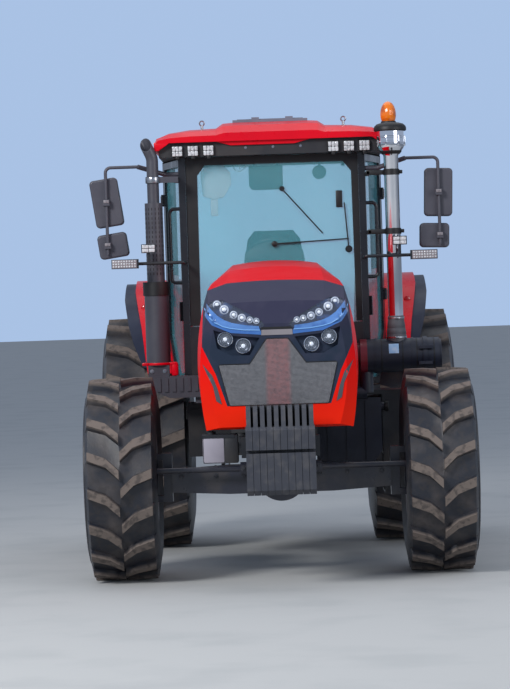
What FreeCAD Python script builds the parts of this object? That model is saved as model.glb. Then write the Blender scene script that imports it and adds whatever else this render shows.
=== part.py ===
import FreeCAD, Part
import Sketcher
import math
import os
import re

# Farm tractor with a cab, modelled at real size in millimetres.
# Frame: +Z up from the ground, the tractor faces -Y, +X is the driver's left.
# Places along the tractor are given as distances behind the front axle.

Vector = FreeCAD.Vector

# Driving dimensions: name, value in millimetres, degrees or a count
DIMENSIONS = [
    # Axles and wheels
    ("front_axle_y", -1295), ("wheelbase", 2690),
    ("front_tyre_radius", 650), ("front_tyre_section", 460), ("front_tread", 410),
    ("front_rim_radius", 355), ("front_wheel_x", 1010), ("front_lugs", 17), ("front_lug_depth", 42),
    ("front_lug_width", 56), ("rear_tyre_radius", 830), ("rear_tyre_section", 620),
    ("rear_tread", 555), ("rear_rim_radius", 432), ("rear_wheel_x", 945), ("rear_lugs", 18),
    ("rear_lug_depth", 46), ("rear_lug_width", 66), ("lug_sweep_nose", 7), ("lug_sweep_shoulder", 4),
    ("bead_gap", 0.3), ("rim_wall", 8), ("rim_lip", 20), ("disc_wall", 14),
    ("wheel_nuts", 8), ("wheel_nut_radius", 12),
    # Front axle, steering and hubs
    ("kingpin_x", 845), ("kingpin_radius", 30), ("axle_beam_half_depth", 90),
    ("axle_beam_low", 535), ("axle_beam_high", 715), ("axle_taper_x", 330),
    ("axle_bulge_radius", 160), ("axle_bulge_length", 460),
    ("ear_low", 495), ("ear_high", 805), ("ear_wall", 40), ("ear_radius", 52), ("fork_inner_x", 700),
    ("fork_outer_x", 756), ("fit_gap", 0.05), ("face_gap", 0.5), ("knuckle_radius", 55),
    ("drum_inner_x", 925), ("drum_outer_x", 985), ("drum_radius", 150), ("spindle_radius", 50),
    ("spindle_reach", 45), ("steer_arm", 175), ("arm_wall", 20), ("arm_top", 675),
    ("arm_half_width", 25), ("arm_end_radius", 30), ("cylinder_radius", 42), ("cylinder_half_length", 260),
    ("steer_rod_radius", 18), ("rod_eye_radius", 32), ("rod_eye_height", 49), ("rod_z", 700),
    # Front weights and their carrier
    ("weight_count", 10), ("weight_pitch", 42.4), ("weight_wall", 40), ("handle_wall", 27),
    ("weight_front", 1150), ("weight_depth", 310), ("weight_low", 585), ("weight_high", 1125),
    ("handle_low", 1000), ("weight_slot_low", 841), ("weight_slot_height", 20), ("weight_slot_depth", 60),
    ("hook_low", 800), ("hook_high", 930),
    # Front support, engine, transmission and rear axle
    ("support_half_width", 190), ("support_low", 815), ("support_high", 970),
    ("pedestal_half_width", 110), ("pedestal_wall", 90), ("pedestal_low", 560),
    ("support_rear", 330), ("engine_half_width", 200), ("engine_rear", 990),
    ("engine_low", 700), ("deck_z", 1250), ("head_high", 1370), ("cover_high", 1455),
    ("head_half_width", 150), ("cover_half_width", 95), ("sump_low", 610), ("sump_half_width", 150),
    ("fan_radius", 245), ("fan_blades", 8), ("fan_z", 1305), ("fan_front", 200), ("crank_z", 1070),
    ("radiator_front", 430), ("radiator_rear", 290), ("radiator_half_width", 330), ("radiator_high", 1700),
    ("gearbox_half_width", 210), ("gearbox_low", 560), ("gearbox_high", 1060), ("gearbox_rear", 2300),
    ("rear_housing_half_width", 240), ("rear_housing_low", 500), ("rear_housing_high", 1130),
    ("rear_housing_behind", 240), ("trumpet_inner_radius", 125), ("trumpet_outer_radius", 95),
    ("trumpet_end_x", 640), ("rear_spindle_radius", 60), ("rear_spindle_reach", 160),
    ("rear_disc_offset", 145), ("front_disc_offset", 24.5),
    # Rear linkage, drawbar and power take-off
    ("hitch_behind", 190), ("lower_hinge_z", 500), ("rocker_z", 1050), ("lift_arm_length", 400),
    ("lower_link_length", 826), ("link_wall", 24), ("link_height", 60), ("link_front_x", 280),
    ("link_rear_x", 410), ("link_pin_radius", 18), ("rocker_radius", 35), ("rod_pin_radius", 15),
    ("rod_width", 44), ("link_ball_radius", 14.35), ("link_ball_housing", 34), ("link_ball_length", 44),
    ("drawbar_half_width", 40), ("drawbar_wall", 32), ("drawbar_z", 430), ("drawbar_reach", 470),
    ("drawbar_pin_radius", 16), ("pto_radius", 17.5), ("pto_length", 80), ("pto_z", 640),
    ("top_link_length", 680), ("top_link_radius", 20), ("top_link_z", 930), ("top_link_bore", 12.9),
    # Hood and nose
    ("hood_rear", 1000), ("hood_skin", 12), ("nose_reach", 775), ("nose_depth", 75), ("nose_wall", 60),
    ("mask_top", 500), ("pod_depth", 30), ("fog_lamp_radius", 48), ("fog_lamp_reach", 22),
    ("hood_half_width", 490), ("hood_flank_z", 1560), ("hood_low", 1200), ("hood_crown", 2030),
    ("nose_crown", 1762), ("cowl_low", 970), ("cowl_high", 1120), ("seam", 0.3),
    ("hood_hinge_z", 1975), ("hood_hinge_back", 1026), ("hinge_pin_radius", 12), ("hinge_tube_radius", 20),
    ("hinge_half_width", 250), ("hinge_ear", 30), ("grille_wall", 18),
    ("grille_recess", 12), ("grille_rows", 16), ("grille_ribs", 9), ("grille_bar", 7),
    # Cab
    ("cab_front", 1080), ("door_rear", 1760), ("cab_rear", 2840), ("post_wall", 45), ("post_depth", 60),
    ("post_a_x", 630), ("post_b_x", 760), ("post_c_x", 750), ("floor_low", 1130), ("floor_high", 1160),
    ("header_low", 2745), ("header_high", 2840), ("glass_wall", 6), ("glass_low", 1600),
    ("door_wall", 40), ("door_frame", 45), ("door_gap", 5), ("door_low", 1170), ("door_high", 2735),
    ("side_glass_low", 1960), ("rear_glass_low", 1500),
    ("roof_half_width", 785), ("roof_front", 950), ("roof_rear", 2960),
    ("roof_top", 2976), ("hatch_high", 3000), ("hatch_half_width", 255),
    ("door_cut_run", 292), ("door_cut_rise", 350), ("door_pin_radius", 6),
    ("door_barrel_radius", 12), ("door_barrel_height", 60), ("hinge_low_z", 1750), ("hinge_high_z", 2450),
    ("wall", 15), ("sill_rear", 1440), ("door_hinge_out", 12),
    # Driver's place
    ("wheel_ring_radius", 190), ("wheel_tube_radius", 14), ("wheel_centre_y", 1600), ("wheel_centre_z", 2070),
    ("column_tilt", 35), ("column_length", 330), ("column_radius", 28), ("dash_half_width", 180),
    ("seat_y", 2180), ("seat_z", 1580), ("seat_half_width", 250),
    # Exhaust and air intake
    ("exhaust_x", -800), ("exhaust_y", 950), ("muffler_radius", 82), ("muffler_low", 1350),
    ("muffler_high", 1880), ("sleeve_radius", 60), ("sleeve_high", 2440), ("stack_radius", 40),
    ("stack_high", 2745), ("stack_rise", 130), ("stack_lean", 60), ("stack_wall", 4),
    ("stand_low", 1130), ("stand_high", 1275),
    ("intake_x", 800), ("intake_y", 860), ("intake_radius", 49), ("intake_low", 1480), ("intake_high", 2710),
    ("cleaner_radius", 113), ("cleaner_low_x", 550), ("cleaner_high_x", 1080), ("cleaner_z", 1367),
    ("hose_radius", 45),
    ("bowl_radius", 90), ("bowl_high", 2870), ("bowl_cap_radius", 108), ("bowl_cap_high", 2925),
    # Tank, box and steps
    ("tank_front", 1130), ("tank_rear", 1600), ("tank_inner_x", 250), ("tank_outer_x", 690),
    ("tank_low", 640), ("tank_high", 1080), ("step_inner_x", 700), ("step_outer_x", 900),
    ("step_low", 420), ("step_pitch", 260), ("step_count", 3), ("step_front", 1190), ("step_rear", 1570),
    # Mirrors and lamps
    ("mirror_x", 1120), ("mirror_y", 1010), ("mirror_high_z", 2455), ("mirror_low_z", 2165),
    ("mirror_arm_z", 2690), ("mirror_root_z", 2635), ("mirror_tilt_left", 2), ("mirror_tilt_right", 8),
    ("arm_tube_radius", 11), ("arm_root_radius", 16),
    ("beacon_x", 806), ("beacon_y", 1250), ("beacon_radius", 50),
    ("beacon_high", 3090), ("lamp_size", 74), ("lamp_pitch", 105), ("side_lamp_y", 785),
    ("side_lamp_z", 2035), ("side_lamp_reach", 1085),
    # Fenders
    ("fender_radius", 1100), ("fender_skin", 15), ("fender_inner_x", 585), ("fender_outer_x", 1000),
    ("fender_front_angle", 66), ("fender_rear_angle", 60), ("extension_outer_x", 1075),
    ("extension_drop", 22), ("fender_lip", 45),
]

doc = FreeCAD.newDocument("FarmTractor")
sheet = doc.addObject("Spreadsheet::Sheet", "Sizes")
NAMES = set()
for row, (alias, value) in enumerate(DIMENSIONS, start=1):
    sheet.set(f"A{row}", alias)
    sheet.set(f"B{row}", str(value))
    sheet.setAlias(f"B{row}", alias)
    NAMES.add(alias)
doc.recompute()

WORD = re.compile(r"[A-Za-z_]\w*")


def bound(text):
    """An expression on the sheet's cells, from one written with bare names."""
    return WORD.sub(lambda m: "Sizes." + m.group() if m.group() in NAMES else m.group(), str(text))


def val(text):
    """The present value of an expression."""
    return float(sheet.evalExpression(bound(text)))


def behind(text):
    """The Y of a place given as a distance behind the front axle."""
    return f"(front_axle_y + {text})"


FRONT_Y = "front_axle_y"
REAR_Y = "(front_axle_y + wheelbase)"
NODES = []


def node(obj, label):
    """Names a finished piece, so that it is written out."""
    obj.Label = label
    NODES.append(obj)
    return obj


def place(obj, x="0", y="0", z="0"):
    obj.setExpression("Placement.Base.x", bound(x))
    obj.setExpression("Placement.Base.y", bound(y))
    obj.setExpression("Placement.Base.z", bound(z))


# Box between two corners
def box(name, x0, x1, y0, y1, z0, z1):
    obj = doc.addObject("Part::Box", name)
    obj.setExpression("Length", bound(f"({x1}) - ({x0})"))
    obj.setExpression("Width", bound(f"({y1}) - ({y0})"))
    obj.setExpression("Height", bound(f"({z1}) - ({z0})"))
    place(obj, x0, y0, z0)
    return obj


TURNS = {
    "X": FreeCAD.Rotation(Vector(0, 1, 0), 90),
    "Y": FreeCAD.Rotation(Vector(1, 0, 0), -90),
    "Z": FreeCAD.Rotation(),
}


# Cylinder from a start point along +X, +Y or +Z
def cylinder(name, axis, radius, length, x, y, z):
    obj = doc.addObject("Part::Cylinder", name)
    obj.setExpression("Radius", bound(radius))
    obj.setExpression("Height", bound(length))
    obj.Placement = FreeCAD.Placement(Vector(), TURNS[axis])
    place(obj, x, y, z)
    return obj


def cone(name, axis, radius_0, radius_1, length, x, y, z):
    obj = doc.addObject("Part::Cone", name)
    obj.setExpression("Radius1", bound(radius_0))
    obj.setExpression("Radius2", bound(radius_1))
    obj.setExpression("Height", bound(length))
    obj.Placement = FreeCAD.Placement(Vector(), TURNS[axis])
    place(obj, x, y, z)
    return obj


PLANES = {"XY": "XY_Plane", "XZ": "XZ_Plane", "YZ": "YZ_Plane"}


def sketch_on(body, plane, points):
    """A closed outline of straight lines, each corner bound to the sheet."""
    origin_plane = next(f for f in body.Origin.OriginFeatures if f.Role == PLANES[plane])
    sketch = body.newObject("Sketcher::SketchObject", body.Name + "_outline")
    sketch.AttachmentSupport = (origin_plane, "")
    sketch.MapMode = "FlatFace"
    corners = [Vector(val(u), val(v), 0) for u, v in points]
    count = len(corners)
    for i in range(count):
        sketch.addGeometry(Part.LineSegment(corners[i], corners[(i + 1) % count]))
    for i in range(count):
        sketch.addConstraint(Sketcher.Constraint("Coincident", i, 2, (i + 1) % count, 1))
    for i, (u, v) in enumerate(points):
        for kind, text, size in (("DistanceX", u, corners[i].x), ("DistanceY", v, corners[i].y)):
            index = sketch.addConstraint(Sketcher.Constraint(kind, -1, 1, i, 1, size))
            sketch.setExpression(f"Constraints[{index}]", bound(text))
    return sketch


# Plate with a given outline in a plane, between two offsets across it
def plate(name, plane, points, low, high):
    body = doc.addObject("PartDesign::Body", name)
    sketch = sketch_on(body, plane, points)
    start = f"-({high})" if plane == "XZ" else f"({low})"
    sketch.setExpression("AttachmentOffset.Base.z", bound(start))
    pad = body.newObject("PartDesign::Pad", name + "_pad")
    pad.Profile = sketch
    pad.setExpression("Length", bound(f"({high}) - ({low})"))
    return body


# Round piece turned about the X axis from an outline of (x, radius) corners
def turned(name, points, x, y, z):
    body = doc.addObject("PartDesign::Body", name)
    sketch = sketch_on(body, "XZ", points)
    spin = body.newObject("PartDesign::Revolution", name + "_turn")
    spin.Profile = sketch
    spin.ReferenceAxis = (sketch, ["H_Axis"])
    spin.Angle = 360
    place(body, x, y, z)
    return body


def fuse(name, pieces):
    obj = doc.addObject("Part::MultiFuse", name)
    obj.Shapes = pieces
    obj.Refine = True
    return obj


def cut(name, base, tool):
    obj = doc.addObject("Part::Cut", name)
    obj.Base = base
    obj.Tool = tool
    return obj


def group(name, pieces):
    obj = doc.addObject("Part::Compound", name)
    obj.Links = pieces
    return obj


def mirrored(name, source):
    obj = doc.addObject("Part::Mirroring", name)
    obj.Source = source
    obj.Normal = (1, 0, 0)
    obj.Base = (0, 0, 0)
    return obj


def shaped(name, shape):
    obj = doc.addObject("Part::Feature", name)
    obj.Shape = shape
    return obj


# Straight round bar between two points given in millimetres
def bar(name, start, end, radius):
    along = Vector(*end) - Vector(*start)
    return shaped(name, Part.makeCylinder(radius, along.Length, Vector(*start), along))


# Round tube that follows corner points, each corner rounded by an arc
def bent_bar(name, points, radius, bend):
    points = [Vector(*p) for p in points]
    edges = []
    last = points[0]
    for before, corner, after in zip(points, points[1:], points[2:]):
        arrive = (before - corner).normalize()
        leave = (after - corner).normalize()
        half = arrive.getAngle(leave) / 2
        back = bend / math.tan(half)
        start = corner + arrive * back
        end = corner + leave * back
        middle_way = (arrive + leave).normalize()
        middle = corner + middle_way * (bend / math.sin(half) - bend)
        edges.append(Part.LineSegment(last, start).toShape())
        edges.append(Part.Arc(start, middle, end).toShape())
        last = end
    edges.append(Part.LineSegment(last, points[-1]).toShape())
    path = Part.Wire(edges)
    circle = Part.Wire(Part.makeCircle(radius, points[0], points[1] - points[0]))
    return shaped(name, path.makePipeShell([circle], True, True))


# Tyres: a faceted ring whose lugs stand between its groove floors
def tyre(name, radius, section, tread, rim, lugs, depth, width, x, y):
    half = tread / 2
    nose = 4.0
    middle = half * 0.42
    bulge_radius = rim + 0.45 * (radius - rim)
    pitch = 2 * math.pi / lugs
    root_half = (width / 2 + 9) / radius
    nose_sweep = math.radians(val("lug_sweep_nose"))
    shoulder_sweep = math.radians(val("lug_sweep_shoulder"))
    # Stations across one half: x, root radius, tip radius (None past the lug), sweep
    stations = [
        (nose, radius - depth, radius / math.cos(width / 2 / radius), 0.0),
        (middle, radius - depth - 1, radius - 1, nose_sweep),
        (half - 5, radius - depth - 8, radius - 4, nose_sweep + shoulder_sweep),
        (half + 10, radius - depth * 1.9, None, nose_sweep + shoulder_sweep),
        (section / 2, bulge_radius, None, nose_sweep + shoulder_sweep),
        (section / 2 - 45, rim / math.cos(pitch / 2 - root_half), None, nose_sweep + shoulder_sweep),
    ]
    tip_half = (width / 2) / radius
    faces = []

    def point(side, across, reach, angle):
        return Vector(side * across, -reach * math.sin(angle), -reach * math.cos(angle))

    def corner(side, station, lug, edge, tip=False):
        across, root, top, sweep = stations[station]
        reach = top if tip else root
        spread = (tip_half if tip else root_half) * edge
        turn = lug * pitch + (pitch / 2 if side > 0 else 0.0)
        return point(side, across, reach, turn + sweep + spread)

    def facet(a, b, c, d):
        for triangle in ((a, b, c), (a, c, d)):
            faces.append(Part.Face(Part.makePolygon([*triangle, triangle[0]])))

    for side in (-1, 1):
        for lug in range(lugs):
            for s in range(5):
                # Groove floor or side wall between two lugs, and the wall below a lug
                facet(corner(side, s, lug, 1), corner(side, s + 1, lug, 1),
                      corner(side, s + 1, lug + 1, -1), corner(side, s, lug + 1, -1))
                if s >= 3:
                    facet(corner(side, s, lug, -1), corner(side, s + 1, lug, -1),
                          corner(side, s + 1, lug, 1), corner(side, s, lug, 1))
            for s in range(2):
                facet(corner(side, s, lug, -1, True), corner(side, s + 1, lug, -1, True),
                      corner(side, s + 1, lug, 1, True), corner(side, s, lug, 1, True))
                for edge in (-1, 1):
                    facet(corner(side, s, lug, edge), corner(side, s + 1, lug, edge),
                          corner(side, s + 1, lug, edge, True), corner(side, s, lug, edge, True))
            for edge in (-1, 1):
                triangle = [corner(side, 2, lug, edge), corner(side, 3, lug, edge),
                            corner(side, 2, lug, edge, True)]
                faces.append(Part.Face(Part.makePolygon(triangle + triangle[:1])))
            # Nose end and shoulder end of the lug
            facet(corner(side, 0, lug, -1), corner(side, 0, lug, 1),
                  corner(side, 0, lug, 1, True), corner(side, 0, lug, -1, True))
            facet(corner(side, 2, lug, -1, True), corner(side, 2, lug, 1, True),
                  corner(side, 3, lug, 1), corner(side, 3, lug, -1))
    # Strip along the middle and the bore, between the two staggered halves
    for station in (0, 5):
        for lug in range(lugs):
            left = [corner(-1, station, lug, -1), corner(-1, station, lug, 1),
                    corner(-1, station, lug + 1, -1)]
            right = [corner(1, station, lug, -1), corner(1, station, lug, 1)]
            before = corner(1, station, lug - 1, 1)
            triangles = [(left[0], left[1], right[0]), (left[0], right[0], before),
                         (left[1], right[0], right[1]), (left[1], left[2], right[1])]
            for triangle in triangles:
                faces.append(Part.Face(Part.makePolygon([*triangle, triangle[0]])))
    shell = Part.makeShell(faces)
    shell.sewShape()
    solid = Part.makeSolid(shell)
    if solid.Volume < 0:
        solid.reverse()
    obj = shaped(name, solid)
    obj.Placement = FreeCAD.Placement(Vector(x, y, radius), FreeCAD.Rotation())
    return obj


# Wheels: tyre, rim barrel with lips, dished disc and hub
def wheel(end, disc_offset, spindle, spindle_end):
    radius = f"{end}_rim_radius"
    lip = f"({end}_tyre_section/2 - 25)"
    axle_y = FRONT_Y if end == "front" else REAR_Y
    inner = f"({radius} - rim_wall)"
    face = f"-({disc_offset})"
    back = f"({face} + disc_wall)"
    profile = [
        (face, f"({spindle} + fit_gap)"), (face, f"({spindle}*2.6)"),
        (f"({face}*0.35 + 6)", f"({inner}*0.72)"), (f"({face}*0.35 + 6)", inner),
        (f"-{lip}", inner), (f"-{lip}", f"({radius} + rim_lip)"),
        (f"(rim_wall - {lip})", f"({radius} + rim_lip)"), (f"(rim_wall - {lip})", radius),
        (f"({lip} - rim_wall)", radius), (f"({lip} - rim_wall)", f"({radius} + rim_lip)"),
        (lip, f"({radius} + rim_lip)"), (lip, inner),
        (f"({face}*0.35 + 6 + disc_wall)", inner), (f"({face}*0.35 + 6 + disc_wall)", f"({inner}*0.7)"),
        (back, f"({spindle}*2.6)"), (back, f"({spindle}*1.8)"),
        (f"({spindle_end} + disc_wall)", f"({spindle}*1.6)"), (f"({spindle_end} + disc_wall)", "0"),
        (f"({spindle_end} + face_gap)", "0"), (f"({spindle_end} + face_gap)", f"({spindle} + fit_gap)"),
    ]
    disc = turned(f"{end}_rim_left_disc", profile, f"{end}_wheel_x", axle_y, f"{end}_tyre_radius")
    centre = Vector(val(f"{end}_wheel_x") + val(back) - 1, val(axle_y), val(f"{end}_tyre_radius"))
    nuts = []
    for i in range(int(val("wheel_nuts"))):
        turn = 2 * math.pi * (i + 0.5) / val("wheel_nuts")
        foot = centre + Vector(0, math.cos(turn), math.sin(turn)) * val(f"{spindle}*2.2")
        hexagon = Part.makePolygon([
            foot + Vector(0, math.cos(math.radians(60 * k)), math.sin(math.radians(60 * k)))
            * val("wheel_nut_radius") for k in range(7)])
        nuts.append(shaped(f"{end}_nut_{i}", Part.Face(hexagon).extrude(Vector(18, 0, 0))))
    rim = node(fuse(f"{end}_rim_left_body", [disc, *nuts]), f"{end}_rim_left")
    node(mirrored(f"{end}_rim_right_body", rim), f"{end}_rim_right")
    rubber = tyre(
        f"{end}_tyre_left_body", val(f"{end}_tyre_radius"), val(f"{end}_tyre_section"),
        val(f"{end}_tread"), val(f"{radius} + bead_gap"),
        int(val(f"{end}_lugs")), val(f"{end}_lug_depth"), val(f"{end}_lug_width"),
        val(f"{end}_wheel_x"), val(axle_y))
    node(rubber, f"{end}_tyre_left")
    node(mirrored(f"{end}_tyre_right_body", rubber), f"{end}_tyre_right")


wheel("front", "front_disc_offset", "spindle_radius",
      "(drum_outer_x + spindle_reach - front_wheel_x)")
wheel("rear", "rear_disc_offset", "rear_spindle_radius",
      "(trumpet_end_x + rear_spindle_reach - rear_wheel_x)")
doc.recompute()


# Front axle: beam, middle bulge, forks with kingpin bores, and the steering cylinder
def front_axle():
    half = [("fork_inner_x", "axle_beam_low + 20"), ("axle_taper_x", "axle_beam_low"),
            ("axle_taper_x", "axle_beam_high"), ("fork_inner_x", "axle_beam_high - 20")]
    outline = half[:2] + [(f"-{x}", z) for x, z in (half[1], half[0], half[3], half[2])] + half[2:]
    beam = plate("axle_beam", "XZ", outline, f"{FRONT_Y} - axle_beam_half_depth",
                 f"{FRONT_Y} + axle_beam_half_depth")
    bulge = cylinder("axle_bulge", "Y", "axle_bulge_radius", "axle_bulge_length",
                     "0", f"{FRONT_Y} - axle_bulge_length/2", "front_tyre_radius")
    pieces = [beam, bulge]
    for side, sign in (("left", ""), ("right", "-")):
        low_x, high_x = (("fork_inner_x", "fork_outer_x") if side == "left"
                         else ("-fork_outer_x", "-fork_inner_x"))
        pieces.append(box(f"fork_bridge_{side}", low_x, high_x, f"{FRONT_Y} - ear_radius",
                          f"{FRONT_Y} + ear_radius", "ear_low", "ear_high"))
        ear_x = ("fork_outer_x", "kingpin_x") if side == "left" else ("-kingpin_x", "-fork_outer_x")
        for level, low in (("low", "ear_low"), ("high", "(ear_high - ear_wall)")):
            arm = box(f"ear_arm_{level}_{side}", ear_x[0], ear_x[1], f"{FRONT_Y} - ear_radius",
                      f"{FRONT_Y} + ear_radius", low, f"{low} + ear_wall")
            end = cylinder(f"ear_end_{level}_{side}", "Z", "ear_radius", "ear_wall",
                           f"{sign}kingpin_x", FRONT_Y, low)
            pieces += [arm, end]
    barrel = cylinder("steer_barrel", "X", "cylinder_radius", "2*cylinder_half_length",
                      "-cylinder_half_length", f"{FRONT_Y} - steer_arm", "rod_z")
    bracket = box("barrel_bracket", "-ear_radius", "ear_radius", f"{FRONT_Y} - steer_arm",
                  f"{FRONT_Y} - axle_beam_half_depth", "rod_z - cylinder_radius*0.8", "rod_z")
    whole = fuse("axle_body", pieces + [barrel, bracket])
    bores = [cylinder(f"kingpin_bore_{i}", "Z", "kingpin_radius + fit_gap", "ear_high - ear_low", x,
                      FRONT_Y, "ear_low") for i, x in enumerate(("kingpin_x", "-kingpin_x"))]
    bores.append(cylinder("rod_bore", "X", "steer_rod_radius + fit_gap", "2*cylinder_half_length",
                          "-cylinder_half_length", f"{FRONT_Y} - steer_arm", "rod_z"))
    node(cut("axle_bored", whole, group("axle_bores", bores)), "front_axle")


# Steering rod: one rod through the cylinder, with an eye above each steering arm
def steering_rod():
    rod = cylinder("steer_rod_bar", "X", "steer_rod_radius", "2*kingpin_x", "-kingpin_x",
                   f"{FRONT_Y} - steer_arm", "rod_z")
    eyes = [cylinder(f"steer_rod_eye_{side}", "Z", "rod_eye_radius", "rod_eye_height",
                     f"{sign}kingpin_x", f"{FRONT_Y} - steer_arm", "arm_top + face_gap")
            for side, sign in (("left", ""), ("right", "-"))]
    node(fuse("steer_rod_body", [rod, *eyes]), "steering_rod")


# Knuckle: kingpin drum and pins, final drive drum, wheel spindle and steering arm
def knuckle():
    drum_low = "(ear_low + ear_wall + face_gap)"
    drum_high = "(ear_high - ear_wall - face_gap)"
    pieces = [
        cylinder("knuckle_post", "Z", "knuckle_radius", f"{drum_high} - {drum_low}",
                 "kingpin_x", FRONT_Y, drum_low),
        cylinder("knuckle_pins", "Z", "kingpin_radius", "ear_high - ear_low",
                 "kingpin_x", FRONT_Y, "ear_low"),
        box("knuckle_neck", "kingpin_x", "drum_inner_x", f"{FRONT_Y} - knuckle_radius*0.9",
            f"{FRONT_Y} + knuckle_radius*0.9", "front_tyre_radius - knuckle_radius*1.4",
            "front_tyre_radius + knuckle_radius*1.4"),
        cone("final_drive", "X", "drum_radius*0.86", "drum_radius", "(drum_outer_x - drum_inner_x)*0.5",
             "drum_inner_x", FRONT_Y, "front_tyre_radius"),
        cylinder("final_drive_drum", "X", "drum_radius", "(drum_outer_x - drum_inner_x)*0.5",
                 "(drum_inner_x + drum_outer_x)/2", FRONT_Y, "front_tyre_radius"),
        cylinder("spindle", "X", "spindle_radius", "spindle_reach", "drum_outer_x", FRONT_Y,
                 "front_tyre_radius"),
        box("steer_arm_bar", "kingpin_x - arm_half_width", "kingpin_x + arm_half_width",
            f"{FRONT_Y} - steer_arm", FRONT_Y, "arm_top - arm_wall", "arm_top"),
        cylinder("steer_arm_end", "Z", "arm_end_radius", "arm_wall", "kingpin_x",
                 f"{FRONT_Y} - steer_arm", "arm_top - arm_wall"),
    ]
    left = node(fuse("knuckle_body", pieces), "knuckle_left")
    node(mirrored("knuckle_mirror", left), "knuckle_right")


# Front support: side rails over the axle, the two pedestals that hold its pivot, weight carrier
def front_support():
    front = behind("(weight_depth - weight_front)")
    bulge_front = f"({FRONT_Y} - axle_bulge_length/2)"
    bulge_rear = f"({FRONT_Y} + axle_bulge_length/2)"
    pieces = [
        box("support_top", "-support_half_width", "support_half_width", front, behind("support_rear"),
            "support_low", "support_high"),
        box("pedestal_front", "-pedestal_half_width", "pedestal_half_width",
            f"{bulge_front} - pedestal_wall", bulge_front, "pedestal_low", "support_low"),
        box("pedestal_rear", "-pedestal_half_width", "pedestal_half_width", bulge_rear,
            f"{bulge_rear} + pedestal_wall", "pedestal_low", "support_low"),
        box("weight_rail", "-(weight_count*weight_pitch/2 + 30)", "weight_count*weight_pitch/2 + 30",
            front, f"{front} + 60", "hook_low + face_gap", "hook_high"),
        box("tool_box", "-480", "-290", behind("-740"), behind("-590"), "770", "940"),
        box("tool_box_lid", "-486", "-284", behind("-746"), behind("-584"), "925", "945"),
        box("tool_box_arm", "-290", "-support_half_width", behind("-720"), behind("-640"), "830", "890"),
        box("support_rib", "-support_half_width - 20", "support_half_width + 20", behind("-100"),
            behind("-60"), "support_low + 20", "support_high - 20"),
    ]
    for i, z in enumerate((845, 905)):
        pieces.append(cylinder(f"front_coupler_{i}", "Y", "14", "60", "-235", behind("-775"), str(z)))
        pieces.append(box(f"coupler_mount_{i}", "-255", "-215", behind("-730"), behind("-640"),
                          f"{z} - 24", f"{z} + 24"))
    node(fuse("support_body", pieces), "front_support")


# Front weights: suitcase plates in a row, each with a slot in front and a thinner handle
def front_weights():
    front = behind("-weight_front")
    rear = behind("(weight_depth - weight_front)")
    slot_back = f"({front} + weight_slot_depth)"
    outline = [
        (f"({front} + 25)", "weight_low"), (f"({rear} - 60)", "weight_low"), (rear, "weight_low + 60"),
        (rear, "handle_low"), (f"({front} + 20)", "handle_low"), (front, "handle_low - 20"),
        (front, "weight_slot_low + weight_slot_height"), (slot_back, "weight_slot_low + weight_slot_height"),
        (slot_back, "weight_slot_low"), (front, "weight_slot_low"), (front, "weight_low + 30"),
    ]
    handle = [
        (f"({front} + 20)", "handle_low"), (f"({rear} - 40)", "handle_low"),
        (f"({rear} - 60)", "weight_high - 15"), (f"({rear} - 75)", "weight_high"),
        (f"({front} + 70)", "weight_high"), (f"({front} + 50)", "weight_high - 20"),
    ]
    plates = []
    for i in range(int(val("weight_count"))):
        middle = f"(({i} - (weight_count - 1)/2)*weight_pitch)"
        slab = plate(f"weight_{i}", "YZ", outline, f"{middle} - weight_wall/2", f"{middle} + weight_wall/2")
        grip = plate(f"weight_handle_{i}", "YZ", handle, f"{middle} - handle_wall/2",
                     f"{middle} + handle_wall/2")
        plates.append(fuse(f"weight_whole_{i}", [slab, grip]))
    node(group("weights_row", plates), "front_weights")


# Round parts on the engine: name, axis, radius, length, x, place behind the front axle, z
ENGINE_ROUNDS = [
    ("crank_pulley", "Y", "85", "40", "0", "280", "crank_z"),
    ("fan_pulley", "Y", "70", "40", "0", "280", "fan_z"),
    ("alternator", "Y", "62", "140", "265", "345", "1190"),
    ("alternator_pulley", "Y", "34", "40", "265", "305", "1190"),
    ("starter", "Y", "48", "190", "-255", "740", "900"),
    ("starter_solenoid", "Y", "26", "120", "-250", "780", "970"),
    ("oil_filter", "Z", "50", "140", "-265", "520", "770"),
    ("fuel_filter_1", "Z", "42", "160", "262", "610", "1050"),
    ("fuel_filter_2", "Z", "42", "160", "262", "715", "1050"),
    ("fuel_rail", "Y", "16", "440", "185", "420", "1352"),
    ("exhaust_manifold", "Y", "34", "480", "-205", "400", "1320"),
    ("turbo_turbine", "Y", "58", "70", "-225", "560", "1388"),
    ("turbo_waist", "Y", "36", "60", "-225", "625", "1388"),
    ("turbo_compressor", "Y", "62", "60", "-225", "680", "1388"),
    ("oil_cap", "Z", "28", "30", "0", "430", "cover_high - 20"),
]
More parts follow.
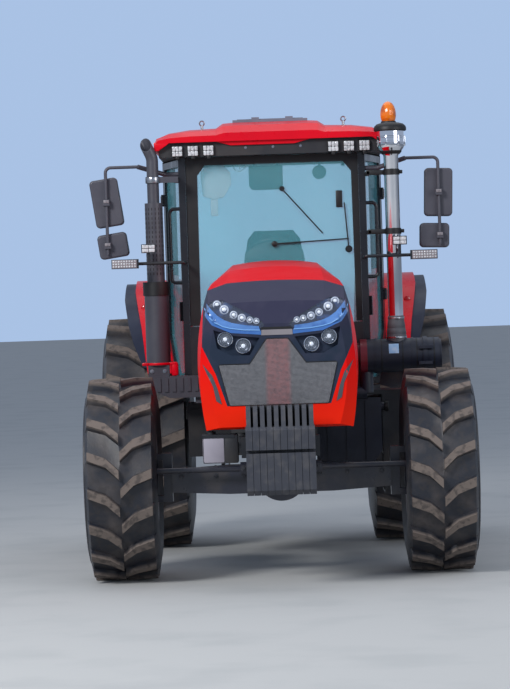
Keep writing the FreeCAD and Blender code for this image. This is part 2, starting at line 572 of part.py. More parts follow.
# Square parts on the engine: name, low x, high x, place from, place to, low z, high z
ENGINE_BOXES = [
    ("crankcase", "-engine_half_width", "engine_half_width", "support_rear", "engine_rear", "engine_low",
     "deck_z"),
    ("timing_cover", "-150", "150", "310", "support_rear", "support_high + seam", "1340"),
    ("cylinder_head", "-head_half_width", "head_half_width", "support_rear + 30", "engine_rear - 40",
     "deck_z", "head_high"),
    ("rocker_cover", "-cover_half_width", "cover_half_width", "support_rear + 60", "engine_rear - 70",
     "head_high", "cover_high"),
    ("sump", "-sump_half_width", "sump_half_width", "support_rear + 40", "engine_rear - 40", "sump_low",
     "engine_low"),
    ("sump_rim", "-engine_half_width - 10", "engine_half_width + 10", "support_rear", "engine_rear - 20",
     "engine_low", "engine_low + 20"),
    ("intake_manifold", "head_half_width", "head_half_width + 70", "400", "880", "1275", "1345"),
    ("alternator_foot", "engine_half_width", "265", "360", "460", "1170", "1210"),
    ("starter_foot", "-255", "-engine_half_width", "800", "900", "870", "930"),
    ("oil_filter_head", "-320", "-engine_half_width", "465", "575", "900", "930"),
    ("fuel_filter_head", "engine_half_width", "310", "560", "765", "1205", "1235"),
    ("control_box", "engine_half_width", "engine_half_width + 45", "400", "620", "820", "1010"),
]


# Engine: block, head and covers with what is bolted to them
def engine():
    pieces = [box(name, x0, x1, behind(y0), behind(y1), z0, z1)
              for name, x0, x1, y0, y1, z0, z1 in ENGINE_BOXES]
    for name, axis, radius, length, x, back, z in ENGINE_ROUNDS:
        pieces.append(cylinder(name, axis, radius, length, x, behind(back), z))
    for i, back in enumerate(("430", "560", "690", "820")):
        pieces.append(cylinder(f"manifold_stub_{i}", "X", "24", "60", "-205", behind(back), "1320"))
        pieces.append(box(f"injector_{i}", "40", "75", behind(f"{back} - 14"), behind(f"{back} + 14"),
                          "cover_high", "cover_high + 8"))
    for i in range(5):
        back = f"(support_rear + 60 + {i}*90)"
        pieces.append(box(f"crankcase_rib_{i}", "-engine_half_width - 12", "engine_half_width + 12",
                          behind(back), behind(f"{back} + 16"), "engine_low + 60", "deck_z - 60"))
    for side in (1, -1):
        run = [(80, "crank_z"), (66, "fan_z"), (56, "fan_z"), (70, "crank_z")]
        pieces.append(plate(f"belt_{side + 1}", "XZ", [(str(side * x), z) for x, z in run], behind("290"),
                            behind("308")))
    node(fuse("engine_body", pieces), "engine")
    shaft = cylinder("fan_shaft", "Y", "40", "fan_front + 280 - seam", "0", behind("-fan_front"), "fan_z")
    blades = [shaft, cylinder("fan_hub", "Y", "70", "50", "0", behind("-fan_front + 5"), "fan_z")]
    reach = val("fan_radius")
    for i in range(int(val("fan_blades"))):
        blade = Part.makeBox(reach - 50, 70, 4, Vector(50, -35, -2))
        blade.rotate(Vector(), Vector(1, 0, 0), 35)
        blade.rotate(Vector(), Vector(0, 1, 0), 360.0 * i / val("fan_blades"))
        blade.translate(Vector(0, val(behind("-fan_front + 30")), val("fan_z")))
        blades.append(shaped(f"fan_blade_{i}", blade))
    node(fuse("fan_body", blades), "engine_fan")


# Cooling pack: tanks, a core with upright fins, and the ring shroud behind it
def radiator():
    front, rear = behind("-radiator_front"), behind("-radiator_rear")
    wide = "radiator_half_width"
    pieces = [
        box("radiator_core", f"-{wide}", wide, f"{front} + 14", rear, "support_high", "radiator_high"),
        box("radiator_tank_high", f"-{wide}", wide, front, f"{front} + 14", "radiator_high - 90",
            "radiator_high"),
        box("radiator_tank_low", f"-{wide}", wide, front, f"{front} + 14", "support_high",
            "support_high + 70"),
        cylinder("radiator_cap", "Z", "34", "22", "0", f"{front} + 70", "radiator_high"),
    ]
    for i in range(21):
        x = f"(-{wide} + {i}*{wide}*0.0985)"
        pieces.append(box(f"radiator_fin_{i}", x, f"{x} + 10", front, f"{front} + 14", "support_high + 70",
                          "radiator_high - 90"))
    shroud = box("fan_shroud", "-fan_radius - 25", "fan_radius + 25", rear, behind("-fan_front + 70"),
                 "fan_z - fan_radius - 25", "fan_z + fan_radius + 25")
    ring = cylinder("shroud_ring", "Y", "fan_radius + 12", "radiator_rear - fan_front + 70", "0",
                    behind("-radiator_rear"), "fan_z")
    node(fuse("radiator_body", [*pieces, cut("shroud_open", shroud, ring)]), "radiator")


def transmission():
    outline = [
        (behind("engine_rear"), "gearbox_low + 60"), (behind("engine_rear + 120"), "gearbox_low"),
        (behind("gearbox_rear"), "gearbox_low"), (behind("gearbox_rear"), "gearbox_high"),
        (behind("engine_rear + 200"), "gearbox_high"), (behind("engine_rear"), "gearbox_high + 120"),
    ]
    node(plate("gearbox", "YZ", outline, "-gearbox_half_width", "gearbox_half_width"), "transmission")


HITCH_Y = f"({REAR_Y} + hitch_behind)"


# Rear axle: middle housing, trumpets, wheel spindles, power take-off and linkage pins
def rear_axle():
    rear = f"({REAR_Y} + rear_housing_behind)"
    axle_z = "rear_tyre_radius"
    pieces = [
        plate("rear_housing", "YZ", [
            (behind("gearbox_rear"), "rear_housing_low"), (f"({rear} - 60)", "rear_housing_low"),
            (rear, "rear_housing_low + 80"), (rear, "rear_housing_high"),
            (behind("gearbox_rear"), "rear_housing_high")],
            "-rear_housing_half_width", "rear_housing_half_width"),
        cylinder("pto_shaft", "Y", "pto_radius", "pto_length", "0", rear, "pto_z"),
        box("pto_guard", "-95", "95", rear, f"{rear} + 100", "pto_z + 92", "pto_z + 100"),
        box("pto_guard_left", "87", "95", rear, f"{rear} + 100", "pto_z", "pto_z + 92"),
        box("pto_guard_right", "-95", "-87", rear, f"{rear} + 100", "pto_z", "pto_z + 92"),
        box("valve_block", "-150", "150", rear, f"{rear} + 60", "rear_housing_high - 130",
            "rear_housing_high - 20"),
    ]
    for i in range(4):
        pieces.append(cylinder(f"rear_coupler_{i}", "Y", "20", "45", f"-105 + {i}*70", f"{rear} + 60",
                               "rear_housing_high - 75"))
    for side, sign in (("left", 1), ("right", -1)):
        start = Vector(sign * val("rear_housing_half_width"), val(REAR_Y), val(axle_z))
        length = val("trumpet_end_x") - val("rear_housing_half_width")
        way = Vector(sign, 0, 0)
        trumpet = Part.makeCone(val("trumpet_inner_radius"), val("trumpet_outer_radius"), length, start, way)
        spindle = Part.makeCylinder(val("rear_spindle_radius"), val("rear_spindle_reach"),
                                    start + way * length, way)
        pin = Part.makeCylinder(
            val("link_pin_radius"), val("link_front_x + link_wall/2 + 12 - rear_housing_half_width"),
            Vector(sign * val("rear_housing_half_width"), val(HITCH_Y), val("lower_hinge_z")), way)
        boss = Part.makeCylinder(
            val("link_pin_radius*2"), val("link_front_x - link_wall/2 - rear_housing_half_width - face_gap"),
            Vector(sign * val("rear_housing_half_width"), val(HITCH_Y), val("lower_hinge_z")), way)
        pieces.append(shaped(f"trumpet_{side}", trumpet.fuse(spindle)))
        pieces.append(shaped(f"link_pin_{side}", boss.fuse(pin)))
        pieces.append(box(f"link_pin_block_{side}", "-rear_housing_half_width" if sign < 0 else
                          "rear_housing_half_width - 60", "-rear_housing_half_width + 60" if sign < 0 else
                          "rear_housing_half_width", f"{HITCH_Y} - 60", rear, "lower_hinge_z - 50",
                          "rear_housing_low + 80"))
    whole = fuse("rear_axle_body", pieces)
    bore = cylinder("rocker_bore", "X", "rocker_radius + fit_gap", "2*rear_housing_half_width",
                    "-rear_housing_half_width", HITCH_Y, "rocker_z")
    node(cut("rear_axle_bored", whole, bore), "rear_axle")


# Drawbar: a flat bar under the rear housing with a pin hole at its end
def drawbar():
    rear = f"({REAR_Y} + drawbar_reach)"
    bar_plate = box("drawbar_bar", "-drawbar_half_width", "drawbar_half_width", REAR_Y, rear,
                    "drawbar_z - drawbar_wall/2", "drawbar_z + drawbar_wall/2")
    hanger = box("drawbar_hanger", "-drawbar_half_width*2", "drawbar_half_width*2", REAR_Y,
                 f"{REAR_Y} + 90", "drawbar_z - drawbar_wall/2", "rear_housing_low")
    hole = cylinder("drawbar_hole", "Z", "drawbar_pin_radius", "drawbar_wall", "0", f"{rear} - 45",
                    "drawbar_z - drawbar_wall/2")
    node(cut("drawbar_bored", fuse("drawbar_body", [bar_plate, hanger]), hole), "drawbar")


# Lower links: bars that toe out behind their hinges, each with a ball end
def lower_links():
    tip_y = f"({HITCH_Y} + lower_link_length)"
    low = "(lower_hinge_z - link_height/2)"
    links = []
    for side, sign in (("left", ""), ("right", "-")):
        half = "link_wall/2"
        inner = [("link_front_x", f"{HITCH_Y} - 32"), ("link_front_x", f"{HITCH_Y} + 110"),
                 ("link_rear_x", f"{HITCH_Y} + 300"), ("link_rear_x", f"{tip_y} - 20")]
        outline = [(f"{sign}({x} - {half})", y) for x, y in inner]
        outline += [(f"{sign}({x} + {half})", y) for x, y in reversed(inner)]
        link = plate(f"link_{side}", "XY", outline, low, f"{low} + link_height")
        start = (f"link_rear_x - link_ball_length/2" if side == "left"
                 else "-link_rear_x - link_ball_length/2")
        ball = cylinder(f"link_ball_{side}", "X", "link_ball_housing", "link_ball_length", start, tip_y,
                        "lower_hinge_z")
        bores = [
            cylinder(f"link_ball_bore_{side}", "X", "link_ball_radius", "link_ball_length", start, tip_y,
                     "lower_hinge_z"),
            cylinder(f"link_front_bore_{side}", "X", "link_pin_radius + fit_gap", "link_wall",
                     f"{sign}link_front_x - {half}", HITCH_Y, "lower_hinge_z"),
            cylinder(f"link_rod_bore_{side}", "X", "rod_pin_radius + fit_gap", "link_wall",
                     f"{sign}link_rear_x - {half}", f"{HITCH_Y} + lift_arm_length", "lower_hinge_z"),
        ]
        links.append(cut(f"link_bored_{side}", fuse(f"link_whole_{side}", [link, ball]),
                         group(f"link_bores_{side}", bores)))
    node(group("links_pair", links), "lower_links")


# Lift arms on one cross shaft, and the lift rods that hang from them
def lift_arms_and_rods():
    tip_y = f"({HITCH_Y} + lift_arm_length)"
    shaft = cylinder("rocker_shaft", "X", "rocker_radius", "2*link_rear_x", "-link_rear_x", HITCH_Y,
                     "rocker_z")
    arms = [shaft]
    rods = []
    pin_bores = []
    for side, sign in (("left", ""), ("right", "-")):
        arm_x = ("link_rear_x - link_wall/2", "link_rear_x + link_wall/2")
        rod_x = ("link_rear_x + link_wall/2 + face_gap", "link_rear_x + link_wall*1.5 + face_gap")
        if side == "right":
            arm_x = tuple(f"-({x})" for x in reversed(arm_x))
            rod_x = tuple(f"-({x})" for x in reversed(rod_x))
        profile = [(f"{HITCH_Y} - 40", "rocker_z - 50"), (f"{HITCH_Y} + 50", "rocker_z - 55"),
                   (f"{tip_y} + 10", "rocker_z - 26"), (f"{tip_y} + 26", "rocker_z - 10"),
                   (f"{tip_y} + 26", "rocker_z + 10"), (f"{tip_y} + 10", "rocker_z + 26"),
                   (f"{HITCH_Y} + 50", "rocker_z + 55"), (f"{HITCH_Y} - 40", "rocker_z + 40")]
        arms.append(plate(f"lift_arm_{side}", "YZ", profile, *arm_x))
        pin_bores.append(cylinder(f"lift_arm_bore_{side}", "X", "rod_pin_radius + fit_gap", "link_wall",
                                  arm_x[0], tip_y, "rocker_z"))
        rod = box(f"lift_rod_bar_{side}", *rod_x, f"{tip_y} - rod_width/2", f"{tip_y} + rod_width/2",
                  "lower_hinge_z - rod_width/2", "rocker_z + rod_width/2")
        pieces = [rod]
        for level, height in (("low", "lower_hinge_z"), ("high", "rocker_z")):
            start = arm_x[0] if side == "left" else rod_x[0]
            pieces.append(cylinder(f"lift_rod_pin_{level}_{side}", "X", "rod_pin_radius",
                                   "2*link_wall + face_gap", start, tip_y, height))
        rods.append(fuse(f"lift_rod_{side}", pieces))
    node(cut("lift_arms_bored", fuse("lift_arms_body", arms), group("lift_arm_bores", pin_bores)),
         "lift_arms")
    node(group("lift_rods_pair", rods), "lift_rods")


# Top link, carried level behind the housing on its bracket
def top_link():
    start_y = f"({REAR_Y} + rear_housing_behind)"
    tip_y = f"({start_y} + top_link_length)"
    pieces = [
        box("top_link_ear", "-30", "30", start_y, f"{start_y} + 70", "top_link_z - 45", "top_link_z + 45"),
        cylinder("top_link_tube", "Y", "top_link_radius", "top_link_length - 70", "0", f"{start_y} + 70",
                 "top_link_z"),
        cylinder("top_link_eye", "X", "30", "50", "-25", tip_y, "top_link_z"),
    ]
    bore = cylinder("top_link_hole", "X", "top_link_bore", "50", "-25", tip_y, "top_link_z")
    node(cut("top_link_bored", fuse("top_link_body", pieces), bore), "top_link")


wheel_parts = [front_axle, steering_rod, knuckle, front_support, front_weights, engine, radiator,
               transmission, rear_axle, drawbar, lower_links, lift_arms_and_rods, top_link]
for make in wheel_parts:
    make()
doc.recompute()


# Hood sections from the cab to the nose tip. Columns: place behind the front axle, lowest edge,
# half width there, flank height, half width there, shoulder height, half width there,
# crease height, half width there, crown height
WIDE = "hood_half_width"
HOOD_SECTIONS = [
    ("hood_rear", "hood_low", f"0.82*{WIDE}", "hood_flank_z", f"0.88*{WIDE}",
     "hood_crown - 115", f"0.80*{WIDE}", "hood_crown - 25", f"0.58*{WIDE}", "hood_crown"),
    ("0", "hood_low", f"0.88*{WIDE}", "hood_flank_z", f"0.94*{WIDE}",
     "hood_crown - 150", f"0.84*{WIDE}", "hood_crown - 72", f"0.60*{WIDE}", "hood_crown - 48"),
    ("-mask_top", "cowl_low + 50", f"0.94*{WIDE}", "hood_flank_z", WIDE,
     "hood_crown - 190", f"0.87*{WIDE}", "hood_crown - 150", f"0.62*{WIDE}", "hood_crown - 138"),
    ("-(nose_reach - nose_depth)", "cowl_low", f"0.93*{WIDE}", "hood_flank_z - 40", f"0.955*{WIDE}",
     "nose_crown - 30", f"0.86*{WIDE}", "nose_crown - 6", f"0.60*{WIDE}", "nose_crown"),
    ("-nose_reach", "cowl_low + 20", f"0.76*{WIDE}", "hood_flank_z - 150", f"0.86*{WIDE}",
     "nose_crown - 155", f"0.79*{WIDE}", "nose_crown - 142", f"0.50*{WIDE}", "nose_crown - 138"),
]
# The hollow's own end, behind the nose's front wall
HOLLOW_END = (
    "-(nose_reach - nose_wall)", "cowl_low", f"0.84*{WIDE}", "hood_flank_z - 70", f"0.88*{WIDE}",
    "nose_crown - 95", f"0.80*{WIDE}", "nose_crown - 75", f"0.50*{WIDE}", "nose_crown - 65")


def hood_section(row, inset=0.0, shift=0.0, drop=0.0):
    """One closed cross section: flank arcs, sloping shoulders, a crown arc and a level bottom."""
    cells = [val(cell) for cell in row]
    back, low, low_x, flank, flank_x, shoulder, shoulder_x, crease, crease_x, crown = cells
    y = val(FRONT_Y) + back + shift
    left = [Vector(-low_x + inset, y, low - drop), Vector(-flank_x + inset, y, flank),
            Vector(-shoulder_x + inset, y, shoulder - inset * 0.6),
            Vector(-crease_x + inset, y, crease - inset)]
    right = [Vector(-corner.x, corner.y, corner.z) for corner in reversed(left)]
    top = Vector(0, y, crown - inset)
    return Part.Wire([
        Part.Arc(*left[:3]).toShape(),
        Part.LineSegment(left[2], left[3]).toShape(),
        Part.Arc(left[3], top, right[0]).toShape(),
        Part.LineSegment(right[0], right[1]).toShape(),
        Part.Arc(*right[1:]).toShape(),
        Part.LineSegment(right[3], left[0]).toShape(),
    ])


def prism(outline, low_y, high_y):
    """Solid along Y from an outline of (x, z) corners in millimetres."""
    corners = [Vector(x, low_y, z) for x, z in outline]
    face = Part.Face(Part.makePolygon(corners + corners[:1]))
    return face.extrude(Vector(0, high_y - low_y, 0))


# Outlines on the nose seen from the front, its left half: x and z
MASK = [(f"0.91*{WIDE}", "hood_crown + 50"), (f"0.93*{WIDE}", "nose_crown - 10"),
        (f"0.955*{WIDE}", "nose_crown - 270"), (f"0.79*{WIDE}", "nose_crown - 440"),
        (f"0.655*{WIDE}", "cowl_high")]
HEADLAMP = [(f"0.90*{WIDE}", "nose_crown - 30"), (f"0.82*{WIDE}", "nose_crown + 8"),
            (f"0.68*{WIDE}", "nose_crown + 14"), (f"0.44*{WIDE}", "nose_crown - 48"),
            (f"0.19*{WIDE}", "nose_crown - 122"), (f"0.15*{WIDE}", "nose_crown - 148"),
            (f"0.20*{WIDE}", "nose_crown - 168"), (f"0.58*{WIDE}", "nose_crown - 150"),
            (f"0.79*{WIDE}", "nose_crown - 104")]
DAYLIGHT_STRIP = [(f"0.905*{WIDE}", "nose_crown - 44"), (f"0.795*{WIDE}", "nose_crown - 116"),
                  (f"0.58*{WIDE}", "nose_crown - 162"), (f"0.20*{WIDE}", "nose_crown - 180"),
                  (f"0.20*{WIDE}", "nose_crown - 206"), (f"0.58*{WIDE}", "nose_crown - 190"),
                  (f"0.82*{WIDE}", "nose_crown - 138"), (f"0.915*{WIDE}", "nose_crown - 74")]
LAMP_POD = [(f"0.80*{WIDE}", "nose_crown - 168"), (f"0.76*{WIDE}", "nose_crown - 282"),
            (f"0.58*{WIDE}", "nose_crown - 330"), (f"0.35*{WIDE}", "nose_crown - 330"),
            (f"0.22*{WIDE}", "nose_crown - 224"), (f"0.58*{WIDE}", "nose_crown - 206")]
GRILLE = [(f"0.135*{WIDE}", "nose_crown - 236"), (f"0.35*{WIDE}", "nose_crown - 389"),
          (f"0.74*{WIDE}", "nose_crown - 389"), (f"0.62*{WIDE}", "cowl_high + 8")]
# Fog lamps in each pod: x, z
FOG_LAMPS = [(f"0.43*{WIDE}", "nose_crown - 272"), (f"0.655*{WIDE}", "nose_crown - 228")]
# Slots in each flank behind the nose: place behind the nose tip, lowest z
FLANK_VENTS = [(105, 1140), (135, 1222), (165, 1304)]


def half_outline(rows, side):
    return [(side * val(x), val(z)) for x, z in rows]


def whole_outline(rows):
    return half_outline(rows, 1) + list(reversed(half_outline(rows, -1)))


def grille_plate(outline, face_y):
    """Frame, level bars and upright ribs inside one outline."""
    wall, bar_wall = val("grille_wall"), val("grille_bar")
    full = prism(outline, face_y, face_y + wall)
    wire = Part.makePolygon([Vector(x, face_y, z) for x, z in outline + outline[:1]])
    inner = wire.makeOffset2D(-2 * bar_wall)
    window = Part.Face(inner).extrude(Vector(0, wall, 0))
    box_of = full.BoundBox
    bars = []
    rows, ribs = int(val("grille_rows")), int(val("grille_ribs"))
    for i in range(1, rows):
        z = box_of.ZMin + box_of.ZLength * i / rows
        bars.append(Part.makeBox(box_of.XLength, wall * 0.5, bar_wall, Vector(box_of.XMin, face_y, z)))
    for i in range(1, ribs):
        x = box_of.XMin + box_of.XLength * i / ribs
        bars.append(Part.makeBox(bar_wall, wall * 0.5, box_of.ZLength,
                                 Vector(x - bar_wall / 2, face_y + wall * 0.25, box_of.ZMin)))
    lattice = bars[0].fuse(bars[1:]).common(full)
    return full.cut(window).fuse(lattice)


def hood_parts():
    hinge_y = behind("hood_hinge_back")
    skin = val("hood_skin")
    outer = Part.makeLoft([hood_section(row) for row in HOOD_SECTIONS], True, True)
    hollow_rows = [
        hood_section(HOOD_SECTIONS[0], skin, 1.0, 50.0), hood_section(HOOD_SECTIONS[1], skin, 0.0, 50.0),
        hood_section(HOOD_SECTIONS[2], skin, 0.0, 150.0), hood_section(HOLLOW_END, 0.0, 0.0, 150.0)]
    shell = outer.cut(Part.makeLoft(hollow_rows, True, True))
    tip = val(behind("-nose_reach"))
    mask_prism = prism(whole_outline(MASK), tip - 5, val(behind("-mask_top")))
    red = shell.cut(mask_prism)
    for back, low in FLANK_VENTS:
        y = tip + back
        vent = rotated_prism([(y, low), (y + 75, low + 20), (y + 95, low + 74), (y + 20, low + 54)],
                             -1000, 1000)
        red = red.cut(vent)
    tube = cylinder("hood_hinge_tube", "X", "hinge_tube_radius", "2*hinge_half_width",
                    "-hinge_half_width", hinge_y, "hood_hinge_z")
    strap = box("hood_hinge_strap", "-hinge_half_width", "hinge_half_width", behind("hood_rear - 2"),
                hinge_y, "hood_hinge_z - 2", "hood_hinge_z + hinge_tube_radius - 2")
    rib_box = Part.makeBox(2 * val("hinge_half_width"), 20, 100,
                           Vector(-val("hinge_half_width"), val(behind("hood_rear - 20")),
                                  val("hood_hinge_z - 2")))
    rib = shaped("hood_rear_rib", outer.common(rib_box))
    whole = fuse("hood_whole", [shaped("hood_shell", red), rib, tube, strap])
    bore = cylinder("hood_hinge_bore", "X", "hinge_pin_radius + fit_gap", "2*hinge_half_width",
                    "-hinge_half_width", hinge_y, "hood_hinge_z")
    node(cut("hood_bored", whole, bore), "hood")

    mask = shell.common(mask_prism)
    pod_floor = tip + val("pod_depth")
    lamps = []
    for side in (1, -1):
        for rows in (HEADLAMP, DAYLIGHT_STRIP):
            lamp_prism = prism(half_outline(rows, side), tip - 5, tip + 2 * val("nose_depth"))
            lamps.append(mask.common(lamp_prism))
            mask = mask.cut(lamp_prism)
        mask = mask.cut(prism(half_outline(LAMP_POD, side), tip - 5, pod_floor))
        for x, z in FOG_LAMPS:
            face = Vector(side * val(x), pod_floor - val("fog_lamp_reach"), val(z))
            lamps.append(Part.makeCylinder(val("fog_lamp_radius"), val("fog_lamp_reach"), face,
                                           Vector(0, 1, 0)))
            mask = mask.cut(Part.makeCylinder(val("fog_lamp_radius + seam"), val("pod_depth + 5"),
                                              Vector(face.x, tip - 5, face.z), Vector(0, 1, 0)))
    outline = whole_outline(GRILLE)
    mask = mask.cut(prism(outline, tip - 5, tip + val("nose_wall") + 5))
    node(shaped("nose_mask_body", mask), "nose_mask")
    node(shaped("grille_body", grille_plate(outline, tip + val("grille_recess"))), "grille")
    node(shaped("headlamps_body", Part.makeCompound(lamps)), "headlamps")


def rotated_prism(outline, x0, x1):
    """Solid along X from an outline of (y, z) corners in millimetres."""
    corners = [Vector(x0, y, z) for y, z in outline]
    return Part.Face(Part.makePolygon(corners + corners[:1])).extrude(Vector(x1 - x0, 0, 0))


# Platform: floor, firewall, rear wall, seat stand and the hood's hinge ears
def cab_platform():
    edge = "(fender_inner_x - seam)"
    sill = "(post_a_x + (post_b_x - post_a_x)*(sill_rear - cab_front)/(door_rear - cab_front))"
    half = [("post_a_x", behind("cab_front")), (sill, behind("sill_rear")), (edge, behind("sill_rear")),
            (edge, behind("cab_rear"))]
    outline = half + [(f"-{x}", y) for x, y in reversed(half)]
    floor = plate("floor_plate", "XY", outline, "floor_low", "floor_high")
    inner = "(post_a_x - post_wall - seam)"
    hinge_y = behind("hood_hinge_back")
    pieces = [
        floor,
        box("firewall", f"-{inner}", inner, behind("cab_front"), behind("cab_front + wall"), "floor_high",
            "glass_low - seam"),
        box("rear_wall", f"-{edge}", edge, behind("cab_rear - wall"), behind("cab_rear"), "floor_high",
            "rear_glass_low - seam"),
        box("seat_stand", "-seat_half_width*0.7", "seat_half_width*0.7", behind("seat_y - 180"),
            behind("seat_y + 190"), "floor_high", "seat_z - seam"),
        box("hinge_tower", "-hinge_half_width - hinge_ear", "hinge_half_width + hinge_ear",
            behind("cab_front - 15"), behind("cab_front"), "glass_low - 40", "hood_hinge_z + 25"),
        cylinder("hood_hinge_pin", "X", "hinge_pin_radius", "2*(hinge_half_width + hinge_ear)",
                 "-hinge_half_width - hinge_ear", hinge_y, "hood_hinge_z"),
    ]
    for side, x0, x1 in (("left", "hinge_half_width + face_gap", "hinge_half_width + hinge_ear"),
                         ("right", "-hinge_half_width - hinge_ear", "-hinge_half_width - face_gap")):
        pieces.append(box(f"hinge_ear_{side}", x0, x1, f"{hinge_y} - hinge_pin_radius", behind("cab_front"),
                          "hood_hinge_z - hinge_pin_radius*2", "hood_hinge_z + hinge_pin_radius"))
    node(fuse("platform_body", pieces), "cab_platform")


# Posts: front, door and rear post on each side, the last two standing on the fender
def cab_posts():
    posts = []
    tops = "header_low - seam"
    rounds = cylinder("fender_round", "X", "fender_radius + seam", "4*fender_outer_x",
                      "-2*fender_outer_x", REAR_Y, "rear_tyre_radius")
    for side in ("left", "right"):
        rows = [
            ("a", "post_a_x", "cab_front", "cab_front + post_depth", "floor_high + seam"),
            ("b", "post_b_x", "door_rear + door_gap", "door_rear + door_gap + post_depth",
             "floor_high + 200"),
            ("c", "post_c_x", "cab_rear - post_depth", "cab_rear", "floor_high + 200"),
        ]
        for letter, outer, front, rear, low in rows:
            x = (f"{outer} - post_wall", outer) if side == "left" else (f"-{outer}", f"post_wall - {outer}")
            post = box(f"post_{letter}_{side}", *x, behind(front), behind(rear), low, tops)
            posts.append(post if letter == "a" else cut(f"post_{letter}_{side}_seated", post, rounds))
    node(group("posts_all", posts), "cab_posts")


def header_and_roof():
    node(box("header", "-(roof_half_width - 30)", "roof_half_width - 30", behind("roof_front + 40"),
             behind("roof_rear - 50"), "header_low", "header_high"), "roof_lining")
    # Half section of the roof: share of the half width, share of the height above the lining
    crown = [(1.0, 0.0), (0.98, 0.32), (0.88, 0.56), (0.70, 0.70), (0.47, 0.74), (0.41, 0.97), (0.34, 1.0)]
    # Roof sections: place, share of width, share of height
    stations = [("roof_front", 0.985, 0.42), ("roof_front + 90", 1.0, 0.80), ("roof_front + 260", 1.0, 1.0),
                ("roof_rear - 260", 1.0, 1.0), ("roof_rear", 0.93, 0.45)]
    wires = []
    for back, wide, tall in stations:
        y = val(behind(back))
        base = val("header_high + seam")
        rise = val("roof_top") - base
        half = [Vector(val("roof_half_width") * wide * u, y, base + rise * tall * w) for u, w in crown]
        corners = half + [Vector(-p.x, p.y, p.z) for p in reversed(half)]
        wires.append(Part.makePolygon(corners + corners[:1]))
    node(shaped("roof_body", Part.makeLoft(wires, True, True)), "roof")
    lid = box("hatch_lid", "-hatch_half_width", "hatch_half_width", behind("roof_front + 275"),
              behind("roof_front + 900"), "roof_top + seam", "hatch_high - 6")
    rim = box("hatch_rim", "-hatch_half_width + 30", "hatch_half_width - 30", behind("roof_front + 305"),
              behind("roof_front + 870"), "hatch_high - 6", "hatch_high")
    eyes = [box(f"hatch_eye_{i}", f"{x} - 26", f"{x} + 26", behind("roof_front + 280"),
                behind("roof_front + 300"), "hatch_high - 6", "hatch_high + 10")
            for i, x in enumerate((-100, 130))]
    node(fuse("hatch_body", [lid, rim, *eyes]), "roof_hatch")


# Glass: windscreen between the front posts, rear window, one side window each side
def cab_glass():
    inner = "(post_a_x - post_wall - seam)"
    top = "header_low - seam"
    wiper_line = behind("cab_front + wall")
    node(box("windscreen_pane", f"-{inner}", inner, wiper_line, f"{wiper_line} + glass_wall", "glass_low",
             top), "windscreen")
    narrow = "(fender_inner_x - seam)"
    wide = "(post_c_x - post_wall - seam)"
    shelf = "(rear_tyre_radius + fender_radius + seam)"
    rear_half = [(narrow, "rear_glass_low"), (narrow, shelf), (wide, shelf), (wide, top)]
    rear = plate("rear_pane", "XZ", [(f"-{x}", z) for x, z in rear_half] + list(reversed(rear_half)),
                 behind("cab_rear - 20 - glass_wall"), behind("cab_rear - 20"))
    low = "side_glass_low"
    x0 = "(post_c_x - post_wall*0.6)"
    left = box("side_pane_left", x0, f"{x0} + glass_wall", behind("door_rear + door_gap + post_depth + seam"),
               behind("cab_rear - post_depth - seam"), low, top)
    right = box("side_pane_right", f"-({x0} + glass_wall)", f"-{x0}",
                behind("door_rear + door_gap + post_depth + seam"),
                behind("cab_rear - post_depth - seam"), low, top)
    node(group("panes", [rear, left, right]), "cab_windows")


